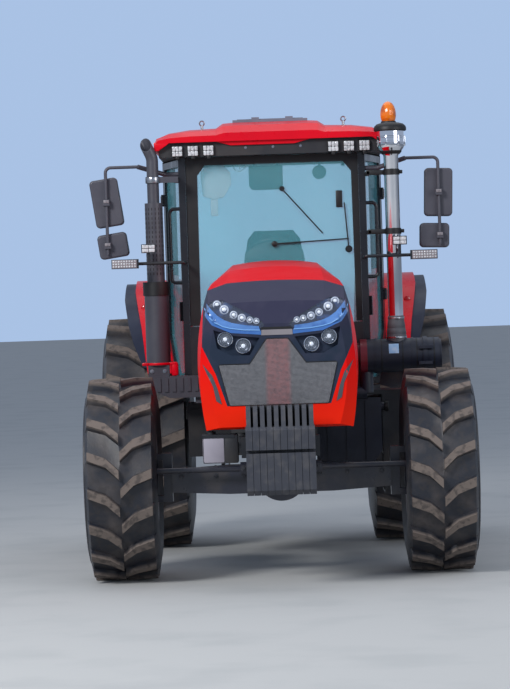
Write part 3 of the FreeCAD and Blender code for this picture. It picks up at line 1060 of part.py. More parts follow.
# Fenders: arched skin, inner wall down to the floor, side panel up to the window, turned lip
def fenders():
    radius = val("fender_radius")
    skin = val("fender_skin")
    x0, x1 = val("fender_inner_x"), val("fender_outer_x")
    outer = val("extension_outer_x")
    axle = Vector(0, val(REAR_Y), val("rear_tyre_radius"))
    front, rear = val("fender_front_angle"), val("fender_rear_angle")
    floor_low = val("floor_low")

    def arch(low_x, high_x, low_r, high_r, start, end):
        """Ring sector about the rear axle, from start degrees ahead of the top to end behind it."""
        corners = [Vector(low_x, 0, low_r), Vector(high_x, 0, low_r), Vector(high_x, 0, high_r),
                   Vector(low_x, 0, high_r)]
        face = Part.Face(Part.makePolygon(corners + corners[:1]))
        face.rotate(Vector(), Vector(1, 0, 0), start)
        solid = face.revolve(Vector(), Vector(-1, 0, 0), start + end)
        solid.translate(axle)
        return solid

    def inside(line, shift):
        """The room on the tractor's side of an outer edge, which the line draws in ahead of the axle."""
        top_x = line[0][0]
        points = [(200, 0), (200, 3000), (top_x, 3000)] + line + [(line[-1][0], 0)]
        corners = [Vector(px + shift * (px > 200), 0, pz) for px, pz in points]
        ahead = Part.Face(Part.makePolygon(corners + corners[:1]))
        ahead = ahead.extrude(Vector(0, -1500, 0))
        ahead.translate(Vector(0, axle.y, 0))
        aft = Part.makeBox(top_x + shift - 200, 1500, 3000, Vector(200, axle.y, 0))
        return ahead.fuse(aft).removeSplitter()

    # Outer edges seen from the front: x, z
    red_edge = [(x1, 1850), (x1 - 51, 1594), (x1 - 80, 1366), (x1 - 95, 1260)]
    black_edge = [(outer, 1790), (outer - 32, 1613), (outer - 67, 1490), (outer - 109, 1382),
                  (outer - 152, 1287), (outer - 170, 1230)]
    red_room, black_room = inside(red_edge, 0), inside(black_edge, 0)
    cover = arch(x0, x1, radius - skin, radius, front, rear).common(red_room)
    lip = arch(x0 + 60, x1, radius - val("fender_lip"), radius - skin, front, rear)
    lip = lip.common(red_room.cut(inside(red_edge, -skin)))
    wall = Part.makeCylinder(radius - skin / 2, skin, Vector(x0, axle.y, axle.z), Vector(1, 0, 0))
    high = 2 * radius
    wall = wall.common(Part.makeBox(skin, 2 * radius, high, Vector(x0, axle.y - radius, floor_low)))
    rear_cut = Part.makeBox(skin + 2, radius, 4 * radius, Vector(x0 - 1, 0, -2 * radius))
    rear_cut.rotate(Vector(), Vector(1, 0, 0), -rear)
    rear_cut.translate(axle)
    wall = wall.cut(rear_cut)
    start_y = val(behind("sill_rear"))
    door_y = val(behind("door_rear"))
    low = val("door_low")
    gusset = rotated_prism([(start_y, floor_low), (door_y + 200, floor_low),
                            (door_y + 200, low + val("door_cut_rise") + 80),
                            (door_y, low + val("door_cut_rise") + 60), (start_y, low + 60)], x0, x0 + skin)
    gusset = gusset.cut(Part.makeCylinder(radius - skin, 4 * skin, Vector(x0 - skin, axle.y, axle.z),
                                          Vector(1, 0, 0)))
    panel_y = [val(behind("door_rear + door_gap + post_depth + seam")),
               val(behind("cab_rear - post_depth - seam"))]
    side = Part.makeBox(val("post_wall"), panel_y[1] - panel_y[0], val("side_glass_low - seam") - floor_low,
                        Vector(val("post_c_x - post_wall"), panel_y[0], floor_low))
    side = side.cut(Part.makeCylinder(radius - skin / 2, 4 * radius, Vector(0, axle.y, axle.z),
                                      Vector(1, 0, 0)))
    whole = cover.fuse([lip, wall, gusset, side]).removeSplitter()
    left = node(shaped("fender_left_body", whole), "fender_left")
    node(mirrored("fender_right_body", left), "fender_right")
    drop = val("extension_drop")
    room = black_room.cut(inside(red_edge, val("seam")))
    brim = arch(x0 + 60, outer, radius - drop - skin, radius - drop, front - 3, rear - 6).common(room)
    edge = arch(x0 + 60, outer, radius - drop - val("fender_lip"), radius - drop - skin, front - 3, rear - 6)
    brim = brim.fuse(edge.common(room.cut(inside(black_edge, -skin)))).removeSplitter()
    other = brim.mirror(Vector(), Vector(1, 0, 0))
    node(shaped("extensions_body", Part.makeCompound([brim, other])), "fender_extensions")


# Doors: slanted panels from the door post forward to the front post, hinged at the rear
def doors():
    x_front = val("post_a_x - post_wall/2")
    x_rear = val("post_b_x - post_wall/2")
    y_front = val(behind("cab_front + post_depth + door_gap"))
    y_rear = val(behind("door_rear"))
    turn = math.degrees(math.atan2(x_rear - x_front, y_rear - y_front))
    length = math.hypot(x_rear - x_front, y_rear - y_front)
    low, high = val("door_low"), val("door_high")
    run, rise = val("door_cut_run"), val("door_cut_rise")
    slope = math.atan2(rise, run)
    frame = val("door_frame")
    half_wall = val("door_wall/2")
    outer = [(0, low + rise), (0, high), (-length, high), (-length, low), (-run, low)]
    inner = [(-frame, low + rise + frame * (1 - math.sin(slope)) / math.cos(slope)), (-frame, high - frame),
             (-length + frame, high - frame), (-length + frame, low + frame),
             (-run - frame * math.tan(slope / 2), low + frame)]
    ring = rotated_prism(outer, -half_wall, half_wall)
    ring = ring.cut(rotated_prism(inner, -half_wall - 1, half_wall + 1))
    pane = rotated_prism(inner, -val("glass_wall/2"), val("glass_wall/2"))
    out = half_wall + val("door_hinge_out")
    radius, height = val("door_barrel_radius"), val("door_barrel_height")
    pin = val("door_pin_radius")
    ears = []
    position = FreeCAD.Placement(Vector(x_rear, y_rear, 0), FreeCAD.Rotation(Vector(0, 0, 1), -turn))
    axis_point = position.multVec(Vector(out, 0, 0))
    for level in (val("hinge_low_z"), val("hinge_high_z")):
        barrel = Part.makeCylinder(radius, height, Vector(out, 0, level))
        link = Part.makeBox(out - half_wall, radius, height, Vector(half_wall, -radius, level))
        hole = Part.makeCylinder(pin + val("fit_gap"), height, Vector(out, 0, level))
        ring = ring.fuse([barrel, link]).cut(hole)
        gap = val("face_gap")
        ear_wall = 10.0
        post_x = val("post_b_x")
        shaft = Part.makeCylinder(pin, height + 2 * (ear_wall + gap),
                                  Vector(axis_point.x, axis_point.y, level - ear_wall - gap))
        hinge = shaft
        for ear_z in (level - ear_wall - gap, level + height + gap):
            arm = Part.makeBox(axis_point.x + 8 - post_x, 50, ear_wall, Vector(post_x, axis_point.y, ear_z))
            end = Part.makeCylinder(8, ear_wall, Vector(axis_point.x, axis_point.y, ear_z))
            hinge = hinge.fuse([arm, end])
        ears.append(hinge)
    grip = Part.makeBox(24, 26, 130, Vector(half_wall, -length + 8, 1640))
    # The front edge is rounded about the hinge, so that it passes the front post as the door opens
    post_back = val(behind("cab_front + post_depth"))
    reach = math.hypot(axis_point.x - val("post_a_x"), axis_point.y - post_back) - val("door_gap")
    ring = ring.fuse(grip).common(Part.makeCylinder(reach, high + 100, Vector(out, 0, 0)))
    for name, solid in (("frame", ring), ("glass", pane)):
        solid.Placement = position
        left = node(shaped(f"door_{name}_left_body", solid), f"door_{name}_left")
        node(mirrored(f"door_{name}_right_body", left), f"door_{name}_right")
    ears += [ear.mirror(Vector(), Vector(1, 0, 0)) for ear in ears]
    node(shaped("door_hinges_body", Part.makeCompound(ears)), "door_hinges")


# Dashboard with the steering column, and the steering wheel on it
def drivers_place():
    tilt = math.radians(val("column_tilt"))
    way = Vector(0, math.sin(tilt), math.cos(tilt))
    centre = Vector(0, val(behind("wheel_centre_y")), val("wheel_centre_z"))
    hub_low = centre - way * 60
    foot = hub_low - way * val("column_length")
    column = bar("steering_column", foot, hub_low - way * val("face_gap"), val("column_radius"))
    y0 = behind("cab_front + wall + glass_wall + 20")
    console = plate("dash_block", "YZ", [
        (y0, "floor_high + seam"), (behind("cab_front + 330"), "floor_high + seam"),
        (behind("cab_front + 300"), "glass_low - 100"),
        (behind("wheel_centre_y - 180"), "wheel_centre_z - 260"),
        (behind("wheel_centre_y - 240"), "wheel_centre_z - 80"), (y0, "wheel_centre_z - 130")],
        "-dash_half_width", "dash_half_width")
    node(fuse("dash_whole", [console, column]), "dashboard")
    ring = Part.makeTorus(val("wheel_ring_radius"), val("wheel_tube_radius"), centre, way)
    hub = Part.makeCylinder(42, 45, hub_low, way)
    spokes = []
    for k in range(3):
        angle = math.radians(120 * k + 90)
        side = Vector(1, 0, 0) * math.cos(angle) + way.cross(Vector(1, 0, 0)) * math.sin(angle)
        start = hub_low + way * 25
        spoke = centre + side * val("wheel_ring_radius") - start
        spokes.append(Part.makeCylinder(11, spoke.Length, start, spoke))
    node(shaped("steering_wheel_body", ring.fuse([hub, *spokes])), "steering_wheel")
    cushion = box("seat_cushion", "-seat_half_width", "seat_half_width", behind("seat_y - 240"),
                  behind("seat_y + 230"), "seat_z", "seat_z + 120")
    back = plate("seat_back", "YZ", [
        (behind("seat_y + 150"), "seat_z + 120"), (behind("seat_y + 250"), "seat_z + 100"),
        (behind("seat_y + 360"), "seat_z + 640"), (behind("seat_y + 340"), "seat_z + 720"),
        (behind("seat_y + 270"), "seat_z + 720")], "-seat_half_width*0.92", "seat_half_width*0.92")
    node(fuse("seat_body", [cushion, back]), "seat")


for make in [hood_parts, cab_platform, cab_posts, header_and_roof, cab_glass, fenders, doors, drivers_place]:
    make()
doc.recompute()


# Exhaust: ribbed stand on the engine, muffler, sleeve and a hollow stack that leans out at its tip
def exhaust():
    x, y = "exhaust_x", behind("exhaust_y")
    pieces = [
        plate("exhaust_stand", "XZ", [("exhaust_x + 70", "stand_low"), ("exhaust_x + 280", "stand_low"),
                                      ("exhaust_x + 280", "stand_high"), ("exhaust_x - 70", "stand_high"),
                                      ("exhaust_x - 20", "stand_low + 40")],
              behind("exhaust_y - 90"), behind("exhaust_y + 90")),
        box("exhaust_seat", "exhaust_x - 70", "exhaust_x + 70", behind("exhaust_y - 70"),
            behind("exhaust_y + 70"), "stand_high", "muffler_low"),
        box("exhaust_bracket", "exhaust_x + 280", "-engine_half_width", behind("exhaust_y - 60"),
            behind("exhaust_y - 20"), "hood_low - 110", "hood_low - 30"),
        box("exhaust_riser", "exhaust_x + 240", "exhaust_x + 300", behind("exhaust_y - 60"),
            behind("exhaust_y - 20"), "hood_low - 110", "stand_low + 60"),
        cylinder("muffler", "Z", "muffler_radius", "muffler_high - muffler_low", x, y, "muffler_low"),
        cylinder("muffler_foot", "Z", "muffler_radius + 10", "24", x, y, "muffler_low"),
        cylinder("exhaust_collar", "Z", "muffler_radius + 7", "90", x, y, "muffler_high - 60"),
        cylinder("exhaust_sleeve", "Z", "sleeve_radius", "sleeve_high - muffler_high", x, y, "muffler_high"),
        cylinder("exhaust_ring", "Z", "stack_radius + 8", "44", x, y, "sleeve_high + 133"),
        box("exhaust_clamp", "exhaust_x", "-post_a_x", behind("exhaust_y - 14"), behind("exhaust_y + 14"),
            "sleeve_high + 135", "sleeve_high + 175"),
        box("exhaust_stay", "-post_a_x - 30", "-post_a_x", behind("exhaust_y - 14"),
            behind("cab_front + post_depth*0.6"), "sleeve_high + 135", "sleeve_high + 175"),
    ]
    for i in range(6):
        left = f"(exhaust_x - 12 + {i}*50)"
        pieces.append(box(f"stand_rib_{i}", left, f"{left} + 24", behind("exhaust_y - 98"),
                          behind("exhaust_y - 90"), "stand_low + 42", "stand_high - 12"))
    low = (val(x), val(y), val("sleeve_high"))
    knee = (val(x), val(y), val("stack_high"))
    tip = (val(x) - val("stack_lean"), val(y) - 20, val("stack_high + stack_rise"))
    pieces.append(bent_bar("exhaust_stack", [low, knee, tip], val("stack_radius"), 120))
    inward = (Vector(*knee) - Vector(*tip)).normalize()
    bore = Part.makeCylinder(val("stack_radius - stack_wall"), 130, Vector(*tip) - inward * 5, inward)
    # The mouth is cut on a slant that faces ahead and outward
    mouth = Part.makeBox(300, 300, 200, Vector(-150, -150, 0))
    mouth.rotate(Vector(), Vector(1, 0, 0), 61)
    mouth.rotate(Vector(), Vector(0, 0, 1), -24)
    mouth.translate(Vector(*tip) + inward * 50)
    bores = group("exhaust_bores", [shaped("exhaust_bore", bore), shaped("exhaust_mouth", mouth)])
    node(cut("exhaust_hollow", fuse("exhaust_whole", pieces), bores), "exhaust")


# Air intake: canister across the cab's corner, elbow, upright pipe and the bowl on top
def air_intake():
    x, y = "intake_x", behind("intake_y")
    can = cylinder("cleaner_can", "X", "cleaner_radius", "cleaner_high_x - cleaner_low_x", "cleaner_low_x",
                   y, "cleaner_z")
    collar = cylinder("cleaner_collar", "X", "cleaner_radius + 8", "30", "cleaner_high_x - 110", y,
                      "cleaner_z")
    foot = box("cleaner_foot", "cleaner_low_x + 60", "cleaner_low_x + 140", behind("intake_y"),
               behind("cab_front"), "cleaner_z - 40", "cleaner_z + 40")
    bands = [cylinder(f"cleaner_band_{i}", "X", "cleaner_radius + 4", "14", f"cleaner_low_x + {start}", y,
                      "cleaner_z") for i, start in enumerate((100, 345))]
    cap = cylinder("cleaner_cap", "X", "cleaner_radius - 12", "14", "cleaner_high_x", y, "cleaner_z")
    valve = cone("cleaner_valve", "Z", "14", "26", "50", "cleaner_high_x - 50", y,
                 "cleaner_z - cleaner_radius - 42")
    clips = [box(f"cleaner_clip_{i}", "cleaner_high_x - 140", "cleaner_high_x - 50",
                 f"{y} - cleaner_radius - 16", f"{y} - cleaner_radius*0.8", f"cleaner_z + {z} - 10",
                 f"cleaner_z + {z} + 10") for i, z in enumerate((-52, 52))]
    hose = cylinder("cleaner_hose", "X", "hose_radius", "cleaner_low_x + 40 - engine_half_width",
                    "engine_half_width", y, "hood_low - hose_radius - 30")
    elbow = cylinder("cleaner_drop", "Z", "hose_radius", "cleaner_z - hood_low + 30", "cleaner_low_x + 40", y,
                     "hood_low - hose_radius - 30")
    node(fuse("cleaner_whole", [can, collar, foot, *bands, cap, valve, *clips, hose, elbow]), "air_cleaner")
    boot = cone("intake_boot", "Z", "intake_radius + 18", "intake_radius + 4", "120", x, y,
                "cleaner_z + cleaner_radius*0.8")
    rings = [cylinder(f"intake_ring_{i}", "Z", "intake_radius + 5", "40", x, y, level)
             for i, level in enumerate(("2178", "2573"))]
    pipe = cylinder("intake_pipe", "Z", "intake_radius", "intake_high - intake_low", x, y, "intake_low")
    flare = cone("intake_flare", "Z", "intake_radius", "bowl_radius", "60", x, y, "intake_high - 40")
    bowl = cylinder("intake_bowl", "Z", "bowl_radius", "bowl_high - intake_high - 20", x, y,
                    "intake_high + 20")
    lid = cylinder("intake_cap", "Z", "bowl_cap_radius", "bowl_cap_high - bowl_high - 14", x, y, "bowl_high")
    crown = cone("intake_crown", "Z", "bowl_cap_radius", "bowl_cap_radius*0.8", "14", x, y,
                 "bowl_cap_high - 14")
    stays = []
    for i, level in enumerate(("2180", "2575")):
        stays.append(box(f"intake_stay_{i}", "post_a_x", "intake_x", behind("intake_y - 14"),
                         behind("intake_y + 14"), level, f"{level} + 36"))
        stays.append(box(f"intake_foot_{i}", "post_a_x", "post_a_x + 30", behind("intake_y - 14"),
                         behind("cab_front + post_depth*0.6"), level, f"{level} + 36"))
    whole = fuse("intake_whole", [boot, pipe, flare, bowl, lid, crown, *rings, *stays])
    round_can = cylinder("cleaner_round", "X", "cleaner_radius + seam", "cleaner_high_x - cleaner_low_x",
                         "cleaner_low_x", y, "cleaner_z")
    node(cut("intake_seated", whole, round_can), "air_intake")


# Fuel tank and battery box under the platform, and a flight of steps outside each
def side_boxes():
    profile = [("tank_inner_x", "tank_low"), ("tank_outer_x - 60", "tank_low"),
               ("tank_outer_x", "tank_low + 80"), ("tank_outer_x", "tank_high"),
               ("tank_inner_x", "tank_high")]
    tank = plate("tank_shell", "XZ", profile, behind("tank_front"), behind("tank_rear"))
    hangers = []
    for side in (1, -1):
        for i, back in enumerate(("tank_front + 80", "tank_rear - 160")):
            x = (("gearbox_half_width", "tank_inner_x") if side > 0
                 else ("-tank_inner_x", "-gearbox_half_width"))
            hangers.append(box(f"hanger_{side + 1}_{i}", *x, behind(back), behind(f"{back} + 70"),
                               "tank_low + 60", "tank_high - 40"))
    ribs = [box(f"tank_rib_{i}", x, f"{x} + 16", behind("tank_front - 8"), behind("tank_front"),
                "tank_low + 20", "tank_high - 20") for i, x in enumerate(("320", "450", "580"))]
    ribs += [box(f"tank_side_rib_{i}", "tank_outer_x", "tank_outer_x + 8", behind(back),
                 behind(f"{back} + 16"), "tank_low + 100", "tank_high - 20")
             for i, back in enumerate(("1210", "1340", "1470"))]
    filler = cylinder("tank_filler", "X", "28", "30", "tank_outer_x", behind("tank_front + 30"),
                      "tank_high - 60")
    node(fuse("tank_whole", [tank, *hangers[:2], *ribs, filler]), "fuel_tank")
    case = box("box_case", "-tank_outer_x + 70", "-tank_inner_x", behind("tank_front - 40"),
               behind("tank_rear - 140"), "tank_low + 80", "tank_high")
    lid = box("box_lid", "-tank_outer_x + 62", "-tank_inner_x", behind("tank_front - 48"),
              behind("tank_rear - 132"), "tank_high - 60", "tank_high - 40")
    latch = box("box_latch", "-tank_outer_x + 50", "-tank_outer_x + 62", behind("1300"), behind("1350"),
                "tank_high - 110", "tank_high - 30")
    node(fuse("box_whole", [case, lid, latch, *hangers[2:]]), "battery_box")
    pieces = []

    def step_box(name, y0, y1, z0, z1, x0="step_inner_x"):
        pieces.append(box(name, x0, "step_outer_x", y0, y1, z0, z1))

    for i, back in enumerate(("step_front", "step_rear - 8")):
        step_box(f"step_cheek_{i}", behind(back), behind(f"{back} + 8"), "step_low", "floor_low - seam")
    for i in range(int(val("step_count"))):
        level = f"(step_low + 10 + {i}*step_pitch)"
        step_box(f"step_tread_{i}", behind("step_front + 8"), behind("step_rear - 8"), level, f"{level} + 14")
    step_box("step_shelf", behind("step_front"), behind("step_rear"), "floor_low - 30", "floor_low - seam",
             "post_a_x - 40")
    node(fuse("steps_whole", pieces), "steps")


# Mirrors: bent arms from the front posts, and an upper and a lower head behind each arm
def mirrors():
    x, y = val("mirror_x"), val(behind("mirror_y"))
    post_x = val("post_a_x") + 0.3
    post_y = val(behind("cab_front + post_depth/2 - 6"))
    level, root = val("mirror_arm_z"), val("mirror_root_z")
    low = val("mirror_low_z")
    path = [(post_x, post_y, root), (post_x + 90, post_y, root), (post_x + 270, y, level), (x, y, level),
            (x, y, low - 60)]
    arm = bent_bar("mirror_arm", path, val("arm_tube_radius"), 35).Shape
    root = bent_bar("mirror_root", path[:3], val("arm_root_radius"), 35).Shape
    arm = arm.fuse(root)
    doc.removeObject("mirror_arm")
    doc.removeObject("mirror_root")
    sides = []
    for side, tilt in ((1, "mirror_tilt_left"), (-1, "mirror_tilt_right")):
        # Heads: width, height, middle's height, how far the middle sits inward of the arm
        heads = []
        for wide, tall, centre, inward in ((190, 325, val("mirror_high_z"), 0), (200, 165, low, 35)):
            head = Part.makeBox(wide, 75, tall, Vector(-wide / 2, 0, -tall / 2))
            along = [edge for edge in head.Edges if abs(edge.tangentAt(edge.FirstParameter).y) > 0.9]
            head = head.makeFillet(28, along)
            back = [edge for edge in head.Edges if edge.BoundBox.YMax < 1]
            head = head.makeFillet(14, back)
            head.rotate(Vector(), Vector(0, 1, 0), val(tilt))
            head.translate(Vector(x - inward, y + 22, centre))
            heads += [head, Part.makeBox(44, 52, 40, Vector(x - 22, y - 22, centre - 20))]
        whole = arm.fuse(heads)
        sides.append(whole if side > 0 else whole.mirror(Vector(), Vector(1, 0, 0)))
    node(shaped("mirrors_body", Part.makeCompound(sides)), "mirrors")


# Lamps: work lamps at the roof's front and rear, and the amber beacon
def lamps():
    pieces = []
    size = "lamp_size"
    for end, y0, y1 in (("front", behind("roof_front + 10"), behind("roof_front + 40")),
                        ("rear", behind("roof_rear - 50"), behind("roof_rear - 20"))):
        for side in (1, -1):
            for i in range(3 if end == "front" else 2):
                x = f"({side}*(roof_half_width - 155 - {i}*lamp_pitch) - lamp_size/2)"
                pieces.append(box(f"lamp_{end}_{side + 1}_{i}", x, f"{x} + {size}", y0, y1,
                                  "header_high - lamp_size - 20", "header_high - 20"))
    node(group("lamps_all", pieces), "work_lamps")
    y = behind("beacon_y")
    bracket = box("beacon_bracket", "roof_half_width - 30 + seam", "beacon_x + 20", f"{y} - 25", f"{y} + 25",
                  "header_high - 60", "header_high - 50")
    pole = cylinder("beacon_pole", "Z", "12", "beacon_high - 130 - (header_high - 60)", "beacon_x", y,
                    "header_high - 60")
    base = cylinder("beacon_base", "Z", "beacon_radius*0.84", "25", "beacon_x", y, "beacon_high - 135")
    dome = cylinder("beacon_dome", "Z", "beacon_radius", "80", "beacon_x", y, "beacon_high - 110")
    tip = cone("beacon_tip", "Z", "beacon_radius", "beacon_radius*0.6", "30", "beacon_x", y,
               "beacon_high - 30")
    node(fuse("beacon_whole", [bracket, pole, base, dome, tip]), "beacon")
    rear = []
    for side in (1, -1):
        x = ("fender_outer_x - 150", "fender_outer_x - 20") if side > 0 else ("-fender_outer_x + 20",
                                                                           "-fender_outer_x + 150")
        lamp = box(f"rear_lamp_{side + 1}", *x, f"{REAR_Y} + 830", f"{REAR_Y} + 925",
                   "rear_tyre_radius + 660", "rear_tyre_radius + 760")
        rounds = cylinder(f"rear_lamp_seat_{side + 1}", "X", "fender_radius + seam", "4*fender_outer_x",
                          "-2*fender_outer_x", REAR_Y, "rear_tyre_radius")
        rear.append(cut(f"rear_lamp_seated_{side + 1}", lamp, rounds))
    node(group("rear_lamps_pair", rear), "rear_lamps")


# Side lamps: a bar lamp and a small lamp each side, on a tube from the front post
def side_lamps():
    x, y = val("post_a_x - 25"), val(behind("side_lamp_y"))
    z, reach = val("side_lamp_z"), val("side_lamp_reach")
    root = val(behind("cab_front - seam"))
    tube = bent_bar("side_lamp_tube", [(x, root, z), (x, y, z), (reach - 20, y, z)], val("arm_tube_radius"),
                    14).Shape
    doc.removeObject("side_lamp_tube")
    radius = val("arm_tube_radius")
    lamp = Part.makeBox(180, 50, 62, Vector(reach - 180, y - 50 - radius + 4, z - 31))
    small = Part.makeBox(95, 45, 58, Vector(reach - 295, y - 22, z + 70))
    stem = Part.makeBox(16, 12, 70 + 4, Vector(reach - 255, y - 6, z))
    left = tube.fuse([lamp, small, stem])
    node(shaped("side_lamps_body", Part.makeCompound([left, left.mirror(Vector(), Vector(1, 0, 0))])),
         "side_lamps")


# Handrails beside the front posts
def handrails():
    x = val("post_a_x")
    y = val(behind("cab_front + 20"))
    rail = bent_bar("rail_tube", [(x + 0.3, y, 1900), (x + 70, y, 1900), (x + 70, y, 2400),
                                  (x + 0.3, y, 2400)], 12, 30).Shape
    doc.removeObject("rail_tube")
    pair = Part.makeCompound([rail, rail.mirror(Vector(), Vector(1, 0, 0))])
    node(shaped("handrails_body", pair), "handrails")


for make in [exhaust, air_intake, side_boxes, mirrors, lamps, side_lamps,
             handrails]:
    make()


# Checks and export
doc.recompute()
for obj in doc.Objects:
    if "Invalid" in obj.State or "Error" in obj.State:
        raise RuntimeError(f"{obj.Label} failed: {obj.State}")
os.makedirs("parts", exist_ok=True)
for obj in NODES:
    if obj.Shape.isNull() or not obj.Shape.isValid():
        raise RuntimeError(f"{obj.Label} has no valid shape")
    obj.Shape.exportStep(f"parts/{obj.Label}.step")
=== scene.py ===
import math

import bmesh
import bpy
from mathutils import Matrix, Vector
from mathutils.bvhtree import BVHTree


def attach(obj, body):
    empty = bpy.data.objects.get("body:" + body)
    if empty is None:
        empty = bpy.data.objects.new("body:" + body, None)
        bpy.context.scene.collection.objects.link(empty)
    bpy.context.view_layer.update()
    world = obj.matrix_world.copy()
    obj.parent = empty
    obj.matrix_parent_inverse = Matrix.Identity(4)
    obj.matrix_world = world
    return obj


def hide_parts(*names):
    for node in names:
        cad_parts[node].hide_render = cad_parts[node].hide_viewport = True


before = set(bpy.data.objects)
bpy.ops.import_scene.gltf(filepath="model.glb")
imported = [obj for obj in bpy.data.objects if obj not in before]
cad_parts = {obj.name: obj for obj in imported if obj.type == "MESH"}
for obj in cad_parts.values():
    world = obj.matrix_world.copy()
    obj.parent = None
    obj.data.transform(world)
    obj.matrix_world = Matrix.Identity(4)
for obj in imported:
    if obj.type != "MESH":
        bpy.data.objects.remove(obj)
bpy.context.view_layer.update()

# Places in metres, in the row frame: the tractor faces -Y, and +X is the driver's left
FRONT_Y = -1.295
REAR_Y = 1.395
FRONT_RADIUS = 0.650
REAR_RADIUS = 0.830
NOSE_Y = -2.070
GLASS_Y = -0.200
CHASSIS = "chassis"
HOOD = "hood_body"


# Materials -----------------------------------------------------------------------------------
def rgb(red, green, blue):
    """Linear colour of a usual 0-255 one."""
    return tuple((v / 255 + 0.055) ** 2.4 / 1.055 ** 2.4 if v > 10 else v / 255 / 12.92
                 for v in (red, green, blue))


class Look:
    """A Principled material whose colour, roughness and grain come from procedural nodes."""

    def __init__(self, name, color, rough, metal=0.0, coat=0.0, alpha=1.0, glow=0.0, gloss=0.5):
        self.mat = bpy.data.materials.new(name)
        self.mat.use_nodes = True
        self.nodes, self.links = self.mat.node_tree.nodes, self.mat.node_tree.links
        self.shader = self.nodes["Principled BSDF"]
        for socket, value in (("Metallic", metal), ("Roughness", rough), ("Coat Weight", coat),
                              ("Coat Roughness", 0.08), ("Alpha", alpha), ("Emission Strength", glow),
                              ("Specular IOR Level", gloss)):
            self.shader.inputs[socket].default_value = value
        self.shader.inputs["Base Color"].default_value = (*color, 1.0)
        if glow:
            self.shader.inputs["Emission Color"].default_value = (*color, 1.0)
        self.color, self.rough = color, rough
        self.place = self.nodes.new("ShaderNodeTexCoord").outputs["Object"]

    def noise(self, scale, detail=6.0, stretch=(1.0, 1.0, 1.0)):
        mapping = self.nodes.new("ShaderNodeMapping")
        mapping.inputs["Scale"].default_value = stretch
        self.links.new(self.place, mapping.inputs["Vector"])
        cloud = self.nodes.new("ShaderNodeTexNoise")
        cloud.inputs["Scale"].default_value = scale
        cloud.inputs["Detail"].default_value = detail
        self.links.new(mapping.outputs["Vector"], cloud.inputs["Vector"])
        return cloud.outputs["Fac"]

    def ranged(self, source, low, high, start, end):
        """The source, from low to high, brought to start to end and held there beyond."""
        span = self.nodes.new("ShaderNodeMapRange")
        for socket, value in (("From Min", low), ("From Max", high), ("To Min", start), ("To Max", end)):
            span.inputs[socket].default_value = value
        self.links.new(source, span.inputs["Value"])
        return span.outputs["Result"]

    def stain(self, color, amount, factor=None, scale=5.0, low=0.48, high=0.66, stretch=(1.0, 1.0, 1.0)):
        """Mixes a second colour over the first in soft patches, or where factor says."""
        if factor is None:
            factor = self.ranged(self.noise(scale, 8.0, stretch), low, high, 0.0, amount)
        mix = self.nodes.new("ShaderNodeMix")
        mix.data_type = "RGBA"
        base = self.shader.inputs["Base Color"]
        if base.is_linked:
            self.links.new(base.links[0].from_socket, mix.inputs["A"])
        else:
            mix.inputs["A"].default_value = (*self.color, 1.0)
        mix.inputs["B"].default_value = (*color, 1.0)
        self.links.new(factor, mix.inputs["Factor"])
        self.links.new(mix.outputs["Result"], base)
        return self

    def wear(self, spread=0.08, scale=9.0):
        """Lets the roughness wander about its value."""
        low, high = max(self.rough - spread, 0.02), min(self.rough + spread, 1.0)
        self.links.new(self.ranged(self.noise(scale), 0.35, 0.65, low, high), self.shader.inputs["Roughness"])
        return self

    def grain(self, strength, scale=400.0, stretch=(1.0, 1.0, 1.0), distance=0.001):
        height = self.nodes.new("ShaderNodeBump")
        height.inputs["Strength"].default_value = strength
        height.inputs["Distance"].default_value = distance
        self.links.new(self.noise(scale, 3.0, stretch), height.inputs["Height"])
        self.links.new(height.outputs["Normal"], self.shader.inputs["Normal"])
        return self

    def distance(self, y, z):
        """How far a point is from the axle line through y, z."""
        flat = self.nodes.new("ShaderNodeVectorMath")
        flat.operation = "MULTIPLY"
        flat.inputs[1].default_value = (0.0, 1.0, 1.0)
        self.links.new(self.place, flat.inputs[0])
        away = self.nodes.new("ShaderNodeVectorMath")
        away.operation = "DISTANCE"
        away.inputs[1].default_value = (0.0, y, z)
        self.links.new(flat.outputs["Vector"], away.inputs[0])
        return away.outputs["Value"]

    def axis(self, name):
        split = self.nodes.new("ShaderNodeSeparateXYZ")
        self.links.new(self.place, split.inputs["Vector"])
        return split.outputs[name]


def plain(name, color, rough, stain=None, amount=0.25, scale=5.0, grain=0.1, grain_scale=400.0, spread=0.07, **kinds):
    """The common finish: patches of a second colour, wandering roughness and a fine grain."""
    look = Look(name, color, rough, **kinds)
    look.stain(stain or tuple(v * 0.7 for v in color), amount, scale=scale)
    return look.wear(spread).grain(grain, grain_scale)


def tyre_rubber(name, y, radius):
    """Dusty lug tops, and shiny blue-black rubber between them and down the sides."""
    look = Look(name, rgb(30, 33, 42), 0.46)
    away = look.distance(y, radius)
    look.stain(rgb(88, 80, 76), 0.55, scale=7.0, low=0.45, high=0.7)
    top = look.ranged(away, radius - 0.030, radius - 0.010, 0.0, 0.85)
    look.stain(rgb(112, 100, 92), 1.0, factor=top)
    look.stain(rgb(48, 44, 44), 0.6, scale=26.0, low=0.5, high=0.62)
    look.links.new(look.ranged(away, radius - 0.030, radius - 0.012, 0.44, 0.80), look.shader.inputs["Roughness"])
    return look.grain(0.5, 160.0, distance=0.003)


